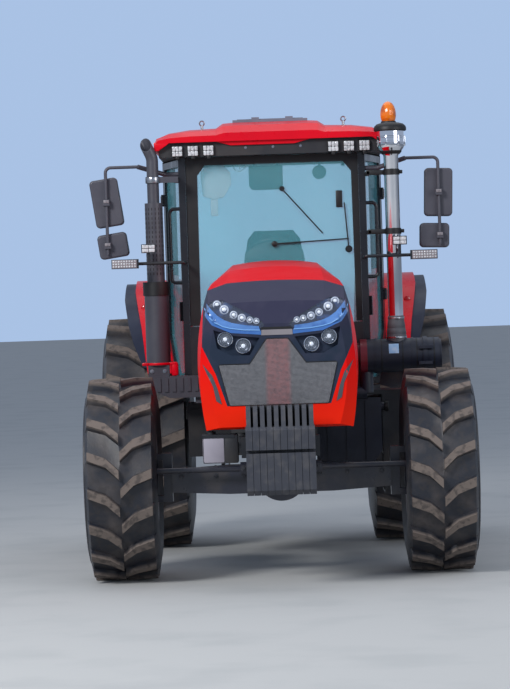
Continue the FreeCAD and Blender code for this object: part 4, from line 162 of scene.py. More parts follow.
DUST = rgb(120, 108, 92)
RED = plain("red_paint", rgb(214, 6, 30), 0.30, stain=rgb(178, 4, 30), amount=0.3, scale=1.6, grain=0.01,
            grain_scale=60.0, spread=0.04, coat=0.08, gloss=0.16)
NOSE_RED = Look("red_hood_painted_light", rgb(222, 2, 18), 0.34, gloss=0.04)
# Painted light: the hood turns a brighter orange-red below z 1.55, fully so below z 1.05, for the light falling on the
# lower cowl
NOSE_RED.stain(rgb(236, 40, 16), 1.0, factor=NOSE_RED.ranged(NOSE_RED.axis("Z"), 1.05, 1.55, 1.0, 0.0))
NOSE_RED.stain(rgb(178, 6, 24), 0.2, scale=1.2).wear(0.03).grain(0.01, 60.0)
BLACK = plain("black_paint", rgb(24, 26, 32), 0.38, stain=DUST, amount=0.10, grain=0.12, coat=0.2)
CAB_BLACK = plain("cab_black", rgb(18, 19, 26), 0.30, amount=0.4, grain=0.05, coat=0.3)
FRAME_GREY = plain("axle_paint", rgb(40, 42, 54), 0.34, stain=DUST, amount=0.16, scale=7.0, grain=0.3,
                   grain_scale=140.0, coat=0.25)
IRON = plain("iron_paint", rgb(52, 54, 62), 0.48, stain=rgb(96, 92, 90), amount=0.3, scale=16.0, grain=0.6,
             grain_scale=120.0)
ENGINE_GREY = plain("engine_grey", rgb(58, 60, 64), 0.45, stain=DUST, amount=0.2, grain=0.3, grain_scale=200.0)
SILVER = plain("wheel_silver", rgb(176, 178, 184), 0.38, stain=DUST, amount=0.18, metal=0.45, coat=0.2)
STEEL = plain("steel", rgb(170, 172, 178), 0.28, amount=0.3, metal=1.0)
ALLOY = plain("alloy", rgb(190, 192, 196), 0.42, stain=rgb(120, 118, 112), amount=0.3, metal=0.9)
CHROME = plain("chrome", rgb(226, 228, 234), 0.10, stain=rgb(196, 202, 214), amount=0.3, grain=0.01, spread=0.03,
               metal=1.0)
SOOT = plain("exhaust_paint", rgb(68, 68, 76), 0.38, stain=rgb(52, 50, 58), amount=0.4, scale=6.0, grain=0.25,
             grain_scale=260.0)
NAVY = plain("extension_navy", rgb(24, 32, 54), 0.42, stain=rgb(40, 50, 74), amount=0.35, gloss=0.3)
BURNT = plain("exhaust_inside", rgb(16, 14, 14), 0.85, stain=rgb(44, 36, 32), amount=0.5, scale=30.0)
PLASTIC = plain("dark_plastic", rgb(30, 31, 36), 0.5, stain=DUST, amount=0.08, grain=0.35, grain_scale=600.0)
TANK = plain("tank_plastic", rgb(22, 27, 42), 0.42, stain=rgb(48, 52, 64), amount=0.35, grain=0.3, grain_scale=500.0)
SHELL = plain("mirror_shell", rgb(72, 71, 80), 0.42, stain=rgb(54, 54, 64), amount=0.4, grain=0.35,
              grain_scale=700.0)
LIGHT_GREY = plain("clamp_grey", rgb(132, 126, 130), 0.4, amount=0.3)
MASK = Look("mask_plastic", rgb(50, 50, 70), 0.50, gloss=0.12)
MASK.stain(rgb(38, 48, 64), 1.0, factor=MASK.ranged(MASK.axis("Z"), 1.50, 1.64, 1.0, 0.0))
MASK.stain(rgb(64, 62, 80), 0.35, scale=9.0).wear(0.06).grain(0.2, 420.0)
MESH = Look("grille_mesh", rgb(124, 124, 128), 0.5, metal=0.1)
BAND = MESH.ranged(MESH.axis("X"), -0.085, -0.060, 0.0, 1.0)
EDGE = MESH.nodes.new("ShaderNodeMath")
EDGE.operation = "MULTIPLY"
MESH.links.new(BAND, EDGE.inputs[0])
MESH.links.new(MESH.ranged(MESH.axis("X"), 0.060, 0.085, 0.55, 0.0), EDGE.inputs[1])
MESH.stain(rgb(176, 106, 106), 1.0, factor=EDGE.outputs["Value"])
MESH.stain(rgb(92, 94, 98), 0.45, scale=60.0, low=0.40, high=0.65).wear().grain(0.2)
DARK_GREY = plain("blade_grey", rgb(72, 72, 78), 0.4, amount=0.4, coat=0.2)
RUBBER = plain("hose_rubber", rgb(74, 76, 82), 0.55, stain=rgb(50, 50, 56), amount=0.5, grain=0.3)
SEAL = plain("seal_rubber", rgb(12, 12, 15), 0.5, amount=0.3, grain=0.2)
FRONT_RUBBER = tyre_rubber("front_tyre_rubber", FRONT_Y, FRONT_RADIUS)
REAR_RUBBER = tyre_rubber("rear_tyre_rubber", REAR_Y, REAR_RADIUS)
LAMP_GLASS = plain("lamp_glass", rgb(190, 205, 225), 0.08, grain=0.0, spread=0.02, alpha=0.07)
LAMP_BED = plain("lamp_bed", rgb(12, 20, 48), 0.30, stain=rgb(60, 90, 150), amount=0.55, scale=11.0)
BLUE_HAZE = plain("lamp_haze", rgb(84, 126, 186), 0.24, stain=rgb(46, 84, 148), amount=0.7, scale=14.0, coat=0.2)
DARK_RED = plain("filter_red", rgb(104, 10, 30), 0.4)
# Painted reflection: the fog lamps' chrome bowls are coloured dark grey for the dark surroundings mirrored in them
BOWL = plain("lamp_bowl", rgb(60, 64, 74), 0.25, stain=rgb(120, 124, 134), amount=0.4, scale=60.0, metal=0.9)
BLUE = plain("lamp_blue", rgb(58, 104, 172), 0.24, stain=rgb(92, 140, 200), amount=0.5, scale=7.0, coat=0.3)
PALE_BLUE = plain("lamp_guide", rgb(120, 170, 225), 0.25, amount=0.2)
LED = plain("led_cell", rgb(204, 206, 208), 0.25, stain=rgb(120, 122, 126), amount=0.7, scale=70.0, coat=0.3)
BEAD = plain("lamp_bead", rgb(226, 232, 242), 0.15, stain=rgb(180, 188, 204), amount=0.4, glow=0.1, coat=0.5)
AMBER = plain("amber_lens", rgb(232, 120, 12), 0.16, stain=rgb(160, 62, 8), amount=0.7, scale=24.0, coat=0.6)
RED_LENS = plain("red_lens", rgb(190, 14, 18), 0.18, amount=0.3, coat=0.6)
FABRIC = plain("seat_fabric", rgb(46, 47, 52), 0.85, stain=rgb(30, 30, 34), amount=0.5, scale=30.0, grain=0.6,
               grain_scale=900.0)
LABEL = plain("label_blue", rgb(150, 190, 225), 0.4, stain=rgb(205, 220, 232), amount=0.6, scale=18.0)
HATCH_GREY = plain("hatch_grey", rgb(112, 116, 130), 0.4, stain=rgb(70, 72, 84), amount=0.4, coat=0.3)
GLASS = plain("tinted_glass", rgb(112, 200, 214), 0.03, stain=rgb(142, 214, 224), amount=0.5, scale=1.2,
              grain=0.0, spread=0.01, alpha=0.22)
CLEAR = plain("clear_plastic", rgb(214, 220, 226), 0.12, grain=0.0, alpha=0.55)
CLEAR_GREY = plain("tank_grey", rgb(160, 154, 164), 0.35, stain=rgb(128, 122, 134), amount=0.4)

CAD_LOOKS = {
    NOSE_RED: ["hood"],
    RED: ["fender_left", "fender_right", "roof"],
    BLACK: ["cab_platform", "front_support", "transmission", "rear_axle", "drawbar", "lower_links", "lift_arms",
            "lift_rods", "top_link", "steps", "side_lamps", "engine_fan"],
    NAVY: ["fender_extensions"],
    CAB_BLACK: ["cab_posts", "door_frame_left", "door_frame_right", "handrails", "door_hinges"],
    FRAME_GREY: ["front_axle", "knuckle_left", "knuckle_right", "steering_rod"],
    SILVER: ["front_rim_left", "front_rim_right", "rear_rim_left", "rear_rim_right"],
    IRON: ["front_weights"],
    ENGINE_GREY: ["engine"],
    ALLOY: ["radiator"],
    SOOT: ["exhaust"],
    CHROME: ["air_intake"],
    FRONT_RUBBER: ["front_tyre_left", "front_tyre_right"],
    REAR_RUBBER: ["rear_tyre_left", "rear_tyre_right"],
    PLASTIC: ["roof_lining", "battery_box", "dashboard", "steering_wheel"],
    TANK: ["fuel_tank", "air_cleaner"],
    SHELL: ["mirrors"],
    HATCH_GREY: ["roof_hatch"],
    MASK: ["nose_mask"],
    MESH: ["grille"],
    LAMP_GLASS: ["headlamps"],
    SEAL: ["work_lamps"],
    AMBER: ["beacon"],
    RED_LENS: ["rear_lamps"],
    FABRIC: ["seat"],
    GLASS: ["windscreen", "cab_windows", "door_glass_left", "door_glass_right"],
}
for look, names in CAD_LOOKS.items():
    for name in names:
        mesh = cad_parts[name].data
        mesh.materials.clear()
        mesh.materials.append(look.mat)


# Forms ---------------------------------------------------------------------------------------
def rounded(path, radius, steps=6):
    """The path with its corners turned to arcs."""
    points = [Vector(p) for p in path]
    out = [points[0]]
    for before, corner, after in zip(points, points[1:], points[2:]):
        back, on = before - corner, after - corner
        reach = min(radius / max(math.tan(back.angle(on) / 2), 0.05), back.length * 0.48, on.length * 0.48)
        start, end = corner + back.normalized() * reach, corner + on.normalized() * reach
        for i in range(steps + 1):
            t = i / steps
            out.append(start.lerp(corner, t).lerp(corner.lerp(end, t), t))
    return out + [points[-1]]


def flipped(points, side):
    return [(x * side, *rest) for x, *rest in points]


class Forms:
    """Simple forms gathered into one mesh piece."""

    def __init__(self):
        self.bm = bmesh.new()

    def loft(self, rings, closed=True):
        """Skin over rings of points; closed puts an end cap on each end."""
        made = [[self.bm.verts.new(p) for p in ring] for ring in rings]
        count = len(made[0])
        for low, high in zip(made, made[1:]):
            for i in range(count):
                self.bm.faces.new((low[i], low[(i + 1) % count], high[(i + 1) % count], high[i]))
        if closed:
            self.bm.faces.new(made[0][::-1])
            self.bm.faces.new(made[-1])
        return [v for ring in made for v in ring]

    def block(self, low, high, bevel=0.002, turn=None):
        """A box with rounded edges; turn is a rotation about its middle."""
        low, high = Vector(low), Vector(high)
        size, middle = high - low, (high + low) / 2
        place = Matrix.Translation(middle) @ (turn or Matrix()).to_4x4() @ Matrix.Diagonal((*size, 1.0))
        made = bmesh.ops.create_cube(self.bm, size=1.0, matrix=place)["verts"]
        if bevel:
            edges = list({e for v in made for e in v.link_edges})
            bmesh.ops.bevel(self.bm, geom=edges, offset=bevel, segments=2, profile=0.5, affect="EDGES")

    def prism(self, points, y0, y1, bevel=0.0):
        """A flat shape seen from the front, x and z, with its depth from y0 to y1."""
        made = self.loft([[(x, y, z) for x, z in points] for y in (y0, y1)])
        if bevel:
            edges = list({e for v in made for e in v.link_edges})
            bmesh.ops.bevel(self.bm, geom=edges, offset=bevel, segments=2, profile=0.5, affect="EDGES")

    def lathe(self, profile, centre, axis="Z", steps=32, turn=None):
        """Radius and height pairs turned about an axis through centre."""
        to = {"Z": Matrix.Identity(3), "X": Matrix.Rotation(math.radians(90), 3, "Y"),
              "Y": Matrix.Rotation(math.radians(-90), 3, "X")}[axis]
        turned = (turn or Matrix.Identity(3)) @ to
        rings = []
        for radius, height in profile:
            rings.append([Vector(centre) + turned @ Vector((max(radius, 1e-5) * math.cos(a),
                                                            max(radius, 1e-5) * math.sin(a), height))
                          for a in (2 * math.pi * i / steps for i in range(steps))])
        self.loft(rings)

    def tube(self, path, radius, steps=10, bend=0.0):
        """A round bar along a path, its corners eased by the bend radius."""
        points = rounded(path, bend) if bend else [Vector(p) for p in path]
        side = (points[1] - points[0]).orthogonal().normalized()
        rings = []
        for i, point in enumerate(points):
            ahead = (points[min(i + 1, len(points) - 1)] - points[max(i - 1, 0)]).normalized()
            side = (side - ahead * side.dot(ahead)).normalized()
            across = ahead.cross(side)
            rings.append([point + (side * math.cos(a) + across * math.sin(a)) * radius
                          for a in (2 * math.pi * k / steps for k in range(steps))])
        self.loft(rings)

    def ball(self, centre, radius, squash=(1.0, 1.0, 1.0)):
        place = Matrix.Translation(centre) @ Matrix.Diagonal((*squash, 1.0))
        bmesh.ops.create_uvsphere(self.bm, u_segments=20, v_segments=12, radius=radius, matrix=place)

    def screw(self, centre, radius=0.008, axis="Y"):
        """A hexagon head on a washer, facing along the axis' low side."""
        self.lathe([(radius * 1.5, 0.0), (radius * 1.5, -radius * 0.25)], centre, axis, 20)
        self.lathe([(radius, -radius * 0.25), (radius, -radius), (radius * 0.8, -radius * 1.15)], centre, axis, 6)

    def skin(self, points, over, lift=0.001, thick=0.003, cell=0.02):
        """A flat shape seen from the front, x and z, laid over the surface behind it."""
        sheet = bmesh.new()
        sheet.faces.new([sheet.verts.new((x, 0.0, z)) for x, z in points])
        for axis in (0, 2):
            low, high = (f([p[axis // 2] for p in points]) for f in (min, max))
            normal = Vector((1.0, 0.0, 0.0)) if axis == 0 else Vector((0.0, 0.0, 1.0))
            for i in range(1, int((high - low) / cell) + 1):
                bmesh.ops.bisect_plane(sheet, geom=sheet.verts[:] + sheet.edges[:] + sheet.faces[:],
                                       plane_co=normal * (low + i * cell), plane_no=normal)
        bmesh.ops.triangulate(sheet, faces=sheet.faces)
        for vert in sheet.verts:
            vert.co.y = over(vert.co.x, vert.co.z) - lift
        back = {v: self.bm.verts.new(v.co) for v in sheet.verts}
        front = {v: self.bm.verts.new(v.co - Vector((0.0, thick, 0.0))) for v in sheet.verts}
        for face in sheet.faces:
            self.bm.faces.new([back[v] for v in face.verts])
            self.bm.faces.new([front[v] for v in face.verts][::-1])
        for edge in sheet.edges:
            if edge.is_boundary:
                a, b = edge.verts
                self.bm.faces.new((back[a], back[b], front[b], front[a]))
        sheet.free()

    def done(self, name, look, body=CHASSIS, slot=None, angle=38.0):
        """Makes the piece: smooth faces with sharp edges, riding on its body."""
        bmesh.ops.recalc_face_normals(self.bm, faces=self.bm.faces)
        for edge in self.bm.edges:
            edge.smooth = not (len(edge.link_faces) == 2 and edge.calc_face_angle(0.0) > math.radians(angle))
        for face in self.bm.faces:
            face.smooth = True
        mesh = bpy.data.meshes.new(name)
        self.bm.to_mesh(mesh)
        self.bm.free()
        mesh.materials.append(look.mat)
        piece = bpy.data.objects.new(name, mesh)
        bpy.context.scene.collection.objects.link(piece)
        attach(piece, body)
        return piece


def islands(node):
    """The separate pieces of a CAD node, each as lists of points and faces."""
    whole = bmesh.new()
    whole.from_mesh(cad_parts[node].data)
    bmesh.ops.remove_doubles(whole, verts=whole.verts, dist=1e-6)
    left, found = set(whole.faces), []
    while left:
        stack = [left.pop()]
        group = []
        while stack:
            face = stack.pop()
            group.append(face)
            for near in {f for e in face.edges for f in e.link_faces if f in left}:
                left.remove(near)
                stack.append(near)
        verts = list({v for f in group for v in f.verts})
        place = {v: i for i, v in enumerate(verts)}
        found.append(([v.co.copy() for v in verts], [[place[v] for v in f.verts] for f in group]))
    whole.free()
    return found


def copied(island, name, look, body, shift=(0.0, 0.0, 0.0), slot=None, angle=38.0):
    """A copy of one CAD island as its own piece."""
    points, faces = island
    forms = Forms()
    made = [forms.bm.verts.new(p + Vector(shift)) for p in points]
    for face in faces:
        forms.bm.faces.new([made[i] for i in face])
    return forms.done(name, look, body, slot, angle)


def surface(points, faces):
    return BVHTree.FromPolygons(points, faces)


def front_of(trees):
    """A call that gives the y of the foremost surface at x, z."""
    def y_at(x, z):
        hits = [tree.ray_cast(Vector((x, -5.0, z)), Vector((0.0, 1.0, 0.0)))[0] for tree in trees]
        return min((hit.y for hit in hits if hit), default=NOSE_Y)
    return y_at


def node_tree(name):
    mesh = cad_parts[name].data
    return surface([v.co.copy() for v in mesh.vertices], [list(p.vertices) for p in mesh.polygons])


# Nose: lamps, grille, trims ------------------------------------------------------------------
def nose():
    lamps = islands("headlamps")
    face_y = front_of([node_tree(n) for n in ("nose_mask", "hood")])
    lens_pieces = []
    for points, faces in lamps:
        xs, zs = [p.x for p in points], [p.z for p in points]
        side = 1 if sum(xs) > 0 else -1
        tag = "left" if side > 0 else "right"
        if max(zs) - min(zs) < 0.12 and max(abs(x) for x in xs) < 0.38:
            continue
        island = (points, faces)
        if max(zs) > 1.735:
            lens_pieces.append((side, surface(points, faces)))
            copied(island, f"lamp_bed_{tag}", LAMP_BED, HOOD, (0.0, 0.012, 0.0), "lens")
            copied(island, f"lamp_glass_{tag}", LAMP_GLASS, HOOD, (0.0, -0.001, 0.0), "lens")
        else:
            copied(island, f"lamp_strip_{tag}", BLUE, HOOD, (0.0, -0.002, 0.0), "lens")
    # LED modules behind the clear glass: |x|, z, half width
    bowls, beads = Forms(), Forms()
    for side, tree in lens_pieces:
        y_at = front_of([tree])
        for x, z, half in ((0.125, 1.642, 0.020), (0.165, 1.650, 0.021), (0.214, 1.664, 0.026),
                           (0.264, 1.684, 0.025), (0.322, 1.718, 0.030), (0.366, 1.750, 0.027)):
            y = y_at(side * x, z) + 0.012
            bowls.lathe([(half, 0.002), (half, -0.016), (half * 0.88, -0.016), (half * 0.5, -0.002),
                         (half * 0.2, 0.0)], (side * x, y, z), "Y", 24)
            beads.ball((side * x, y - 0.006, z), half * 0.46)
    bowls.done("lamp_bowls", CHROME, HOOD, "chrome")
    beads.done("lamp_beads", BEAD, HOOD, "lens")
    # Light guides along the strips and the black outlines
    guides, lines, haze = Forms(), Forms(), Forms()
    over = front_of([node_tree("nose_mask")] + [tree for _, tree in lens_pieces])
    for side in (1, -1):
        path = [(0.446, 1.728), (0.420, 1.676), (0.380, 1.638), (0.330, 1.612), (0.284, 1.600), (0.200, 1.588),
                (0.104, 1.584)]
        fine = [(a[0] + (b[0] - a[0]) * t / 5, a[1] + (b[1] - a[1]) * t / 5)
                for a, b in zip(path, path[1:]) for t in range(5)] + [path[-1]]
        guides.tube([(side * x, face_y(side * x, z) - 0.004, z) for x, z in fine], 0.0035, 8)
        upper = [(0.434, 1.762), (0.404, 1.722), (0.366, 1.682), (0.322, 1.652), (0.276, 1.634), (0.196, 1.618),
                 (0.110, 1.609)]
        haze.skin(flipped([(0.430, 1.704), *upper, *path[:1:-1], path[1]], side), over, 0.002, 0.002)
    guides.done("lamp_guides", PALE_BLUE, HOOD, "lens")
    haze.done("lamp_haze", BLUE_HAZE, HOOD, "lens")
    outline = [(0.066, 1.530), (0.1735, 1.377), (0.3666, 1.377), (0.306, 1.124)]
    ring = [(x, z) for x, z in outline] + [(-x, z) for x, z in outline[::-1]]
    lines.tube([(x, NOSE_Y - 0.002, z) for x, z in ring + ring[:2]], 0.004, 8, bend=0.012)
    lines.prism([(-0.097, 1.588), (0.097, 1.588), (0.093, 1.602), (-0.093, 1.602)], NOSE_Y - 0.003, NOSE_Y + 0.004)
    lines.done("nose_lines", SEAL, HOOD, "mask_plastic")
    bridge = Forms()
    bridge.skin([(-0.097, 1.552), (0.097, 1.552), (0.095, 1.586), (-0.095, 1.586)], face_y, 0.0, 0.004)
    bridge.done("nose_bridge", LIGHT_GREY, HOOD, "mask_plastic")
    # Dark blades on the cowl's cheeks
    blades = Forms()
    for side in (1, -1):
        blades.skin(flipped([(0.468, 1.385), (0.409, 1.315), (0.378, 1.231), (0.354, 1.132), (0.388, 1.155),
                             (0.405, 1.245), (0.444, 1.329)], side), face_y, 0.001, 0.003)
    blades.done("cowl_blades", DARK_GREY, HOOD, "mask_plastic")
    grille(outline)
    fog_lamps()


def grille(half):
    """Fine wires in both directions, clipped to the grille's outline."""
    ring = half + [(-x, z) for x, z in half[::-1]]
    sides = list(zip(ring, ring[1:] + ring[:1]))

    def crossings(value, across, along):
        found = []
        for a, b in sides:
            if (a[across] - value) * (b[across] - value) < 0:
                t = (value - a[across]) / (b[across] - a[across])
                found.append(a[along] + (b[along] - a[along]) * t)
        found.sort()
        return list(zip(found[::2], found[1::2]))

    wires = Forms()
    pitch, wide = 0.0072, 0.0017
    for i in range(-52, 53):
        x = i * pitch
        for low, high in crossings(x, 0, 1):
            wires.block((x - wide, NOSE_Y - 0.004, low), (x + wide, NOSE_Y - 0.002, high), 0.0)
    for i in range(60):
        z = 1.126 + i * pitch
        for low, high in crossings(z, 1, 0):
            wires.block((low, NOSE_Y - 0.0055, z - wide), (high, NOSE_Y - 0.0035, z + wide), 0.0)
    sheet = wires.done("grille_sheet", MESH, HOOD, "dark_plastic")
    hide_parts("grille")


def fog_lamps():
    """Four round lamps: chrome ring, bowl, bead and clear front. |x|, z."""
    rings, bowls, fronts, beads = Forms(), Forms(), Forms(), Forms()
    for side in (1, -1):
        for x, z in ((0.2107, 1.490), (0.321, 1.534)):
            centre = (side * x, -2.040, z)
            rings.lathe([(0.0475, 0.0), (0.0475, -0.027), (0.045, -0.029), (0.042, -0.026), (0.042, -0.001)],
                        centre, "Y", 40)
            rings.lathe([(0.0215, -0.004), (0.0215, -0.012), (0.0185, -0.014), (0.0185, -0.0045)], centre, "Y", 28)
            bowls.lathe([(0.0418, -0.001), (0.0418, -0.022), (0.036, -0.013), (0.028, -0.008), (0.010, -0.006)],
                        centre, "Y", 40)
            beads.lathe([(0.0135, -0.006), (0.0135, -0.016), (0.009, -0.020), (0.003, -0.021)], centre, "Y", 24)
            fronts.lathe([(0.040, -0.020), (0.040, -0.0225), (0.030, -0.026), (0.012, -0.028)], centre, "Y", 32)
    first = rings.done("fog_rings", CHROME, HOOD, "chrome")
    bowls.done("fog_bowls", BOWL, HOOD, "dark_plastic")
    fronts.done("fog_glass", LAMP_GLASS, HOOD, "lens")
    beads.done("fog_beads", BEAD, HOOD, "lens")
    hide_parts("headlamps")


# Roof: lip, droops, screws, eyes and the work lamps ------------------------------------------
def roof():
    trim = Forms()
    trim.prism([(-0.37, 2.841), (-0.27, 2.812), (0.16, 2.812), (0.27, 2.841)], -0.322, -0.306, 0.004)
    for side in (1, -1):
        trim.prism(flipped([(0.786, 2.846), (0.665, 2.846), (0.715, 2.822), (0.750, 2.792), (0.786, 2.786)], side),
                   -0.344, -0.306, 0.004)
        trim.block(*sorted_box((side * 0.757, -0.325, 2.788), (side * 0.786, 1.640, 2.846)), 0.006)
    trim.done("roof_trim", RED, CHASSIS, "red_paint")
    marks = Forms()
    for x in (-0.170, 0.015, 0.200):
        marks.screw((x, -0.3055, 2.795), 0.006)
    for side in (1, -1):
        for y in (0.15, 0.75, 1.35):
            marks.screw((side * 0.7555, y, 2.765), 0.007, "X" if side < 0 else "Y")
    marks.done("fascia_screws", STEEL, CHASSIS, "steel")
    eyes = Forms()
    for x in (-0.463, 0.497):
        eyes.lathe([(0.016, 2.905), (0.016, 2.935), (0.009, 2.940), (0.008, 2.965)], (x, -0.10, 0.0))
        ring = [(x + 0.016 * math.cos(a), -0.10, 2.978 + 0.016 * math.sin(a))
                for a in (2 * math.pi * i / 16 for i in range(18))]
        eyes.tube(ring, 0.005, 8)
    eyes.done("roof_eyes", STEEL, CHASSIS, "steel")


def sorted_box(a, b):
    """The low and the high corner of the box between two points."""
    return tuple(map(min, a, b)), tuple(map(max, a, b))


def work_lamps():
    """Ten roof lamps: black housing, bright cells in two rows, and a bracket. x, y of the face, facing."""
    cases, cells = Forms(), Forms()
    places = [(side * x, -0.335, -1) for side in (1, -1) for x in (0.630, 0.525, 0.420)]
    places += [(side * x, 1.645, 1) for side in (1, -1) for x in (0.630, 0.525)]
    for x, face, way in places:
        cases.block(*sorted_box((x - 0.037, face - way * 0.030, 2.746), (x + 0.037, face - way * 0.004, 2.820)),
                    0.006)
        cases.block(*sorted_box((x - 0.012, face - way * 0.026, 2.728), (x + 0.012, face - way * 0.008, 2.748)),
                    0.003)
        for k in range(5):
            rib = x - 0.028 + k * 0.013
            cases.block(*sorted_box((rib, face - way * 0.028, 2.819), (rib + 0.004, face - way * 0.006, 2.824)), 0.0)
        for col in range(3):
            for row in range(2):
                low_x = x - 0.0335 + col * 0.0228
                low_z = 2.7505 + row * 0.0335
                cells.block(*sorted_box((low_x, face - way * 0.006, low_z),
                                        (low_x + 0.0212, face, low_z + 0.0315)), 0.004)
    case = cases.done("work_lamp_cases", SEAL, CHASSIS, "dark_plastic")
    cells.done("work_lamp_cells", LED, CHASSIS, "lens")
    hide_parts("work_lamps")


# Windscreen: printed border, wipers, visors and what stands behind the glass -----------------
def windscreen():
    border = Forms()
    border.loft([[(x, y, z) for x, z in ((-0.584, 1.605), (-0.510, 1.605), (-0.504, 2.620), (-0.452, 2.688),
                                         (0.482, 2.688), (0.536, 2.620), (0.542, 1.605), (0.584, 1.605),
                                         (0.584, 2.743), (-0.584, 2.743))] for y in (-0.2005, -0.2030)])
    border.done("glass_border", SEAL, CHASSIS, "dark_plastic")
    wipers = Forms()
    y = -0.214
    for a, b in (((0.484, 2.407), (0.505, 2.095)), ((0.004, 2.142), (0.508, 2.162)),
                 ((0.066, 2.512), (0.333, 2.203))):
        wipers.tube([(a[0], y, a[1]), (b[0], y, b[1])], 0.0045, 8)
        ahead = Vector((b[0] - a[0], 0.0, b[1] - a[1]))
        turn = Matrix.Rotation(-math.atan2(ahead.z, ahead.x), 3, "Y")
        middle = Vector(((a[0] + b[0]) / 2, -0.2075, (a[1] + b[1]) / 2))
        half = Vector((ahead.length * 0.42, 0.004, 0.004))
        wipers.block(middle - half, middle + half, 0.001, turn)
    wipers.lathe([(0.024, 0.0), (0.024, -0.016), (0.018, -0.022)], (0.505, -0.2035, 2.092), "Y")
    wipers.lathe([(0.020, 0.0), (0.020, -0.016), (0.014, -0.020)], (0.004, -0.2035, 2.142), "Y")
    wipers.lathe([(0.018, 0.0), (0.018, -0.014)], (0.066, -0.2035, 2.514), "Y")
    wipers.block((0.428, -0.213, 2.375), (0.472, -0.2035, 2.490), 0.004)
    wipers.done("wipers", SEAL, CHASSIS, "dark_plastic")
    inside = Forms()
    inside.prism([(-0.156, 2.674), (-0.156, 2.540), (-0.140, 2.516), (-0.110, 2.511), (0.030, 2.511),
                  (0.060, 2.516), (0.075, 2.540), (0.075, 2.674)], -0.150, -0.140, 0.003)
    inside.lathe([(0.046, 0.0), (0.048, -0.008), (0.044, -0.014)], (0.323, -0.140, 2.620), "Y", 28)
    inside.tube([(-0.560, -0.135, 2.700), (0.560, -0.135, 2.700)], 0.011)
    for x in (-0.120, 0.040, 0.323):
        inside.tube([(x, -0.135, 2.700), (x, -0.142, 2.660)], 0.006)
    inside.block((-0.545, -0.150, 2.40), (-0.520, -0.120, 2.69), 0.006)
    inside.done("cab_visors", PLASTIC, CHASSIS, "dark_plastic")
    screen = Forms()
    screen.prism([(-0.485, 2.640), (-0.455, 2.680), (-0.330, 2.690), (-0.280, 2.640), (-0.275, 2.560),
                  (-0.330, 2.470), (-0.400, 2.455), (-0.470, 2.480)], -0.145, -0.110, 0.010)
    screen.block((-0.420, -0.140, 2.345), (-0.370, -0.115, 2.460), 0.008)
    screen.done("cab_monitor", CLEAR, CHASSIS, "lens")
    coil = Forms()
    turns = [(-0.245 + 0.030 * math.cos(a) + 0.006 * a, -0.128, 2.655 + 0.030 * math.sin(a) + 0.004 * a)
             for a in (2 * math.pi * i / 14 for i in range(43))]
    coil.tube(turns, 0.004, 6)
    coil.done("cab_coil", CLEAR, CHASSIS, "lens")


def cab_inside():
    """Levers, console, dash hood, floor mat."""
    dash = Forms()
    hump = [(0.205 * math.cos(a), 2.045 + 0.115 * math.sin(a)) for a in (math.pi * i / 14 for i in range(15))]
    dash.prism([(-0.205, 1.960)] + hump[::-1] + [(0.205, 1.960)], -0.150, 0.060, 0.012)
    for i in range(9):
        angle = math.pi * (i + 1) / 10
        dash.block(Vector((0.206 * math.cos(angle) - 0.004, -0.153, 2.045 + 0.116 * math.sin(angle) - 0.004)),
                   Vector((0.206 * math.cos(angle) + 0.004, 0.050, 2.045 + 0.116 * math.sin(angle) + 0.004)), 0.002)
    dash.done("dash_hood", PLASTIC, CHASSIS, "dark_plastic")
    levers = Forms()
    # Foot x, y, z, how far the knob leans sideways, knob radius
    for x, y, z, lean, knob in ((-0.360, 0.520, 1.590, -0.03, 0.020), (-0.420, 0.620, 1.590, 0.02, 0.018),
                                (-0.330, 0.750, 1.590, 0.02, 0.018), (-0.400, 0.850, 1.590, 0.0, 0.016)):
        levers.tube([(x, y, z), (x + lean, y - 0.03, z + 0.20)], 0.007)
        levers.ball((x + lean, y - 0.03, z + 0.21), knob, (1.0, 1.0, 1.25))
    for side in (1, -1):
        levers.block(*sorted_box((side * 0.290, 0.450, 1.165), (side * 0.480, 1.050, 1.600)), 0.030)
    levers.done("cab_levers", PLASTIC, CHASSIS, "dark_plastic")
    mat = Forms()
    mat.block((-0.285, -0.140, 1.1605), (0.285, 0.370, 1.168), 0.003)
    for i in range(22):
        mat.block((-0.270, -0.125 + i * 0.0225, 1.1675), (0.270, -0.117 + i * 0.0225, 1.1715), 0.0)
    mat.done("floor_mat", SEAL, CHASSIS, "dark_plastic")


# Mirrors, side lamps, beacon -----------------------------------------------------------------
def mirrors():
    glass, clamps = Forms(), Forms()
    for side, tilt in ((1, 2.0), (-1, -8.0)):
        turn = Matrix.Rotation(math.radians(tilt), 3, "Y")
        # Head's width, height, middle's height, how far it sits inward of the arm
        for wide, tall, centre, inward in ((0.190, 0.325, 2.455, 0.0), (0.200, 0.165, 2.165, 0.035)):
            middle = Vector((side * (1.120 - inward), -0.1870, centre))
            half = Vector((wide / 2 - 0.016, 0.0015, tall / 2 - 0.016))
            glass.block(middle - half, middle + half, 0.001, turn)
            clamps.block((side * 1.120 - 0.018, -0.3120, centre - 0.003),
                         (side * 1.120 + 0.018, -0.3065, centre + 0.017), 0.002)
            clamps.screw((side * 1.120, -0.3120, centre + 0.007), 0.004)
    glass.done("mirror_glass", CHROME, CHASSIS, "chrome")
    clamps.done("mirror_clamps", LIGHT_GREY, CHASSIS, "steel")


def side_lamps():
    faces, cells = Forms(), Forms()
    for side in (1, -1):
        x0 = side * 0.905
        faces.block(*sorted_box((x0 + side * 0.012, -0.5695, 2.008), (side * 1.081, -0.5665, 2.062)), 0.001)
        for col in range(9):
            for row in range(3):
                cells.ball((x0 + side * (0.024 + col * 0.0178), -0.5700, 2.018 + row * 0.017), 0.0062,
                           (1.0, 0.5, 1.0))
        for col in range(2):
            for row in range(2):
                low = (side * 0.8375 - 0.042 + col * 0.0435, -0.5345, 2.110 + row * 0.0255)
                cells.block(low, (low[0] + 0.0405, -0.531, low[2] + 0.0225), 0.002)
    faces.done("bar_lamp_faces", LIGHT_GREY, CHASSIS, "lens")
    cells.done("side_lamp_cells", LED, CHASSIS, "lens")


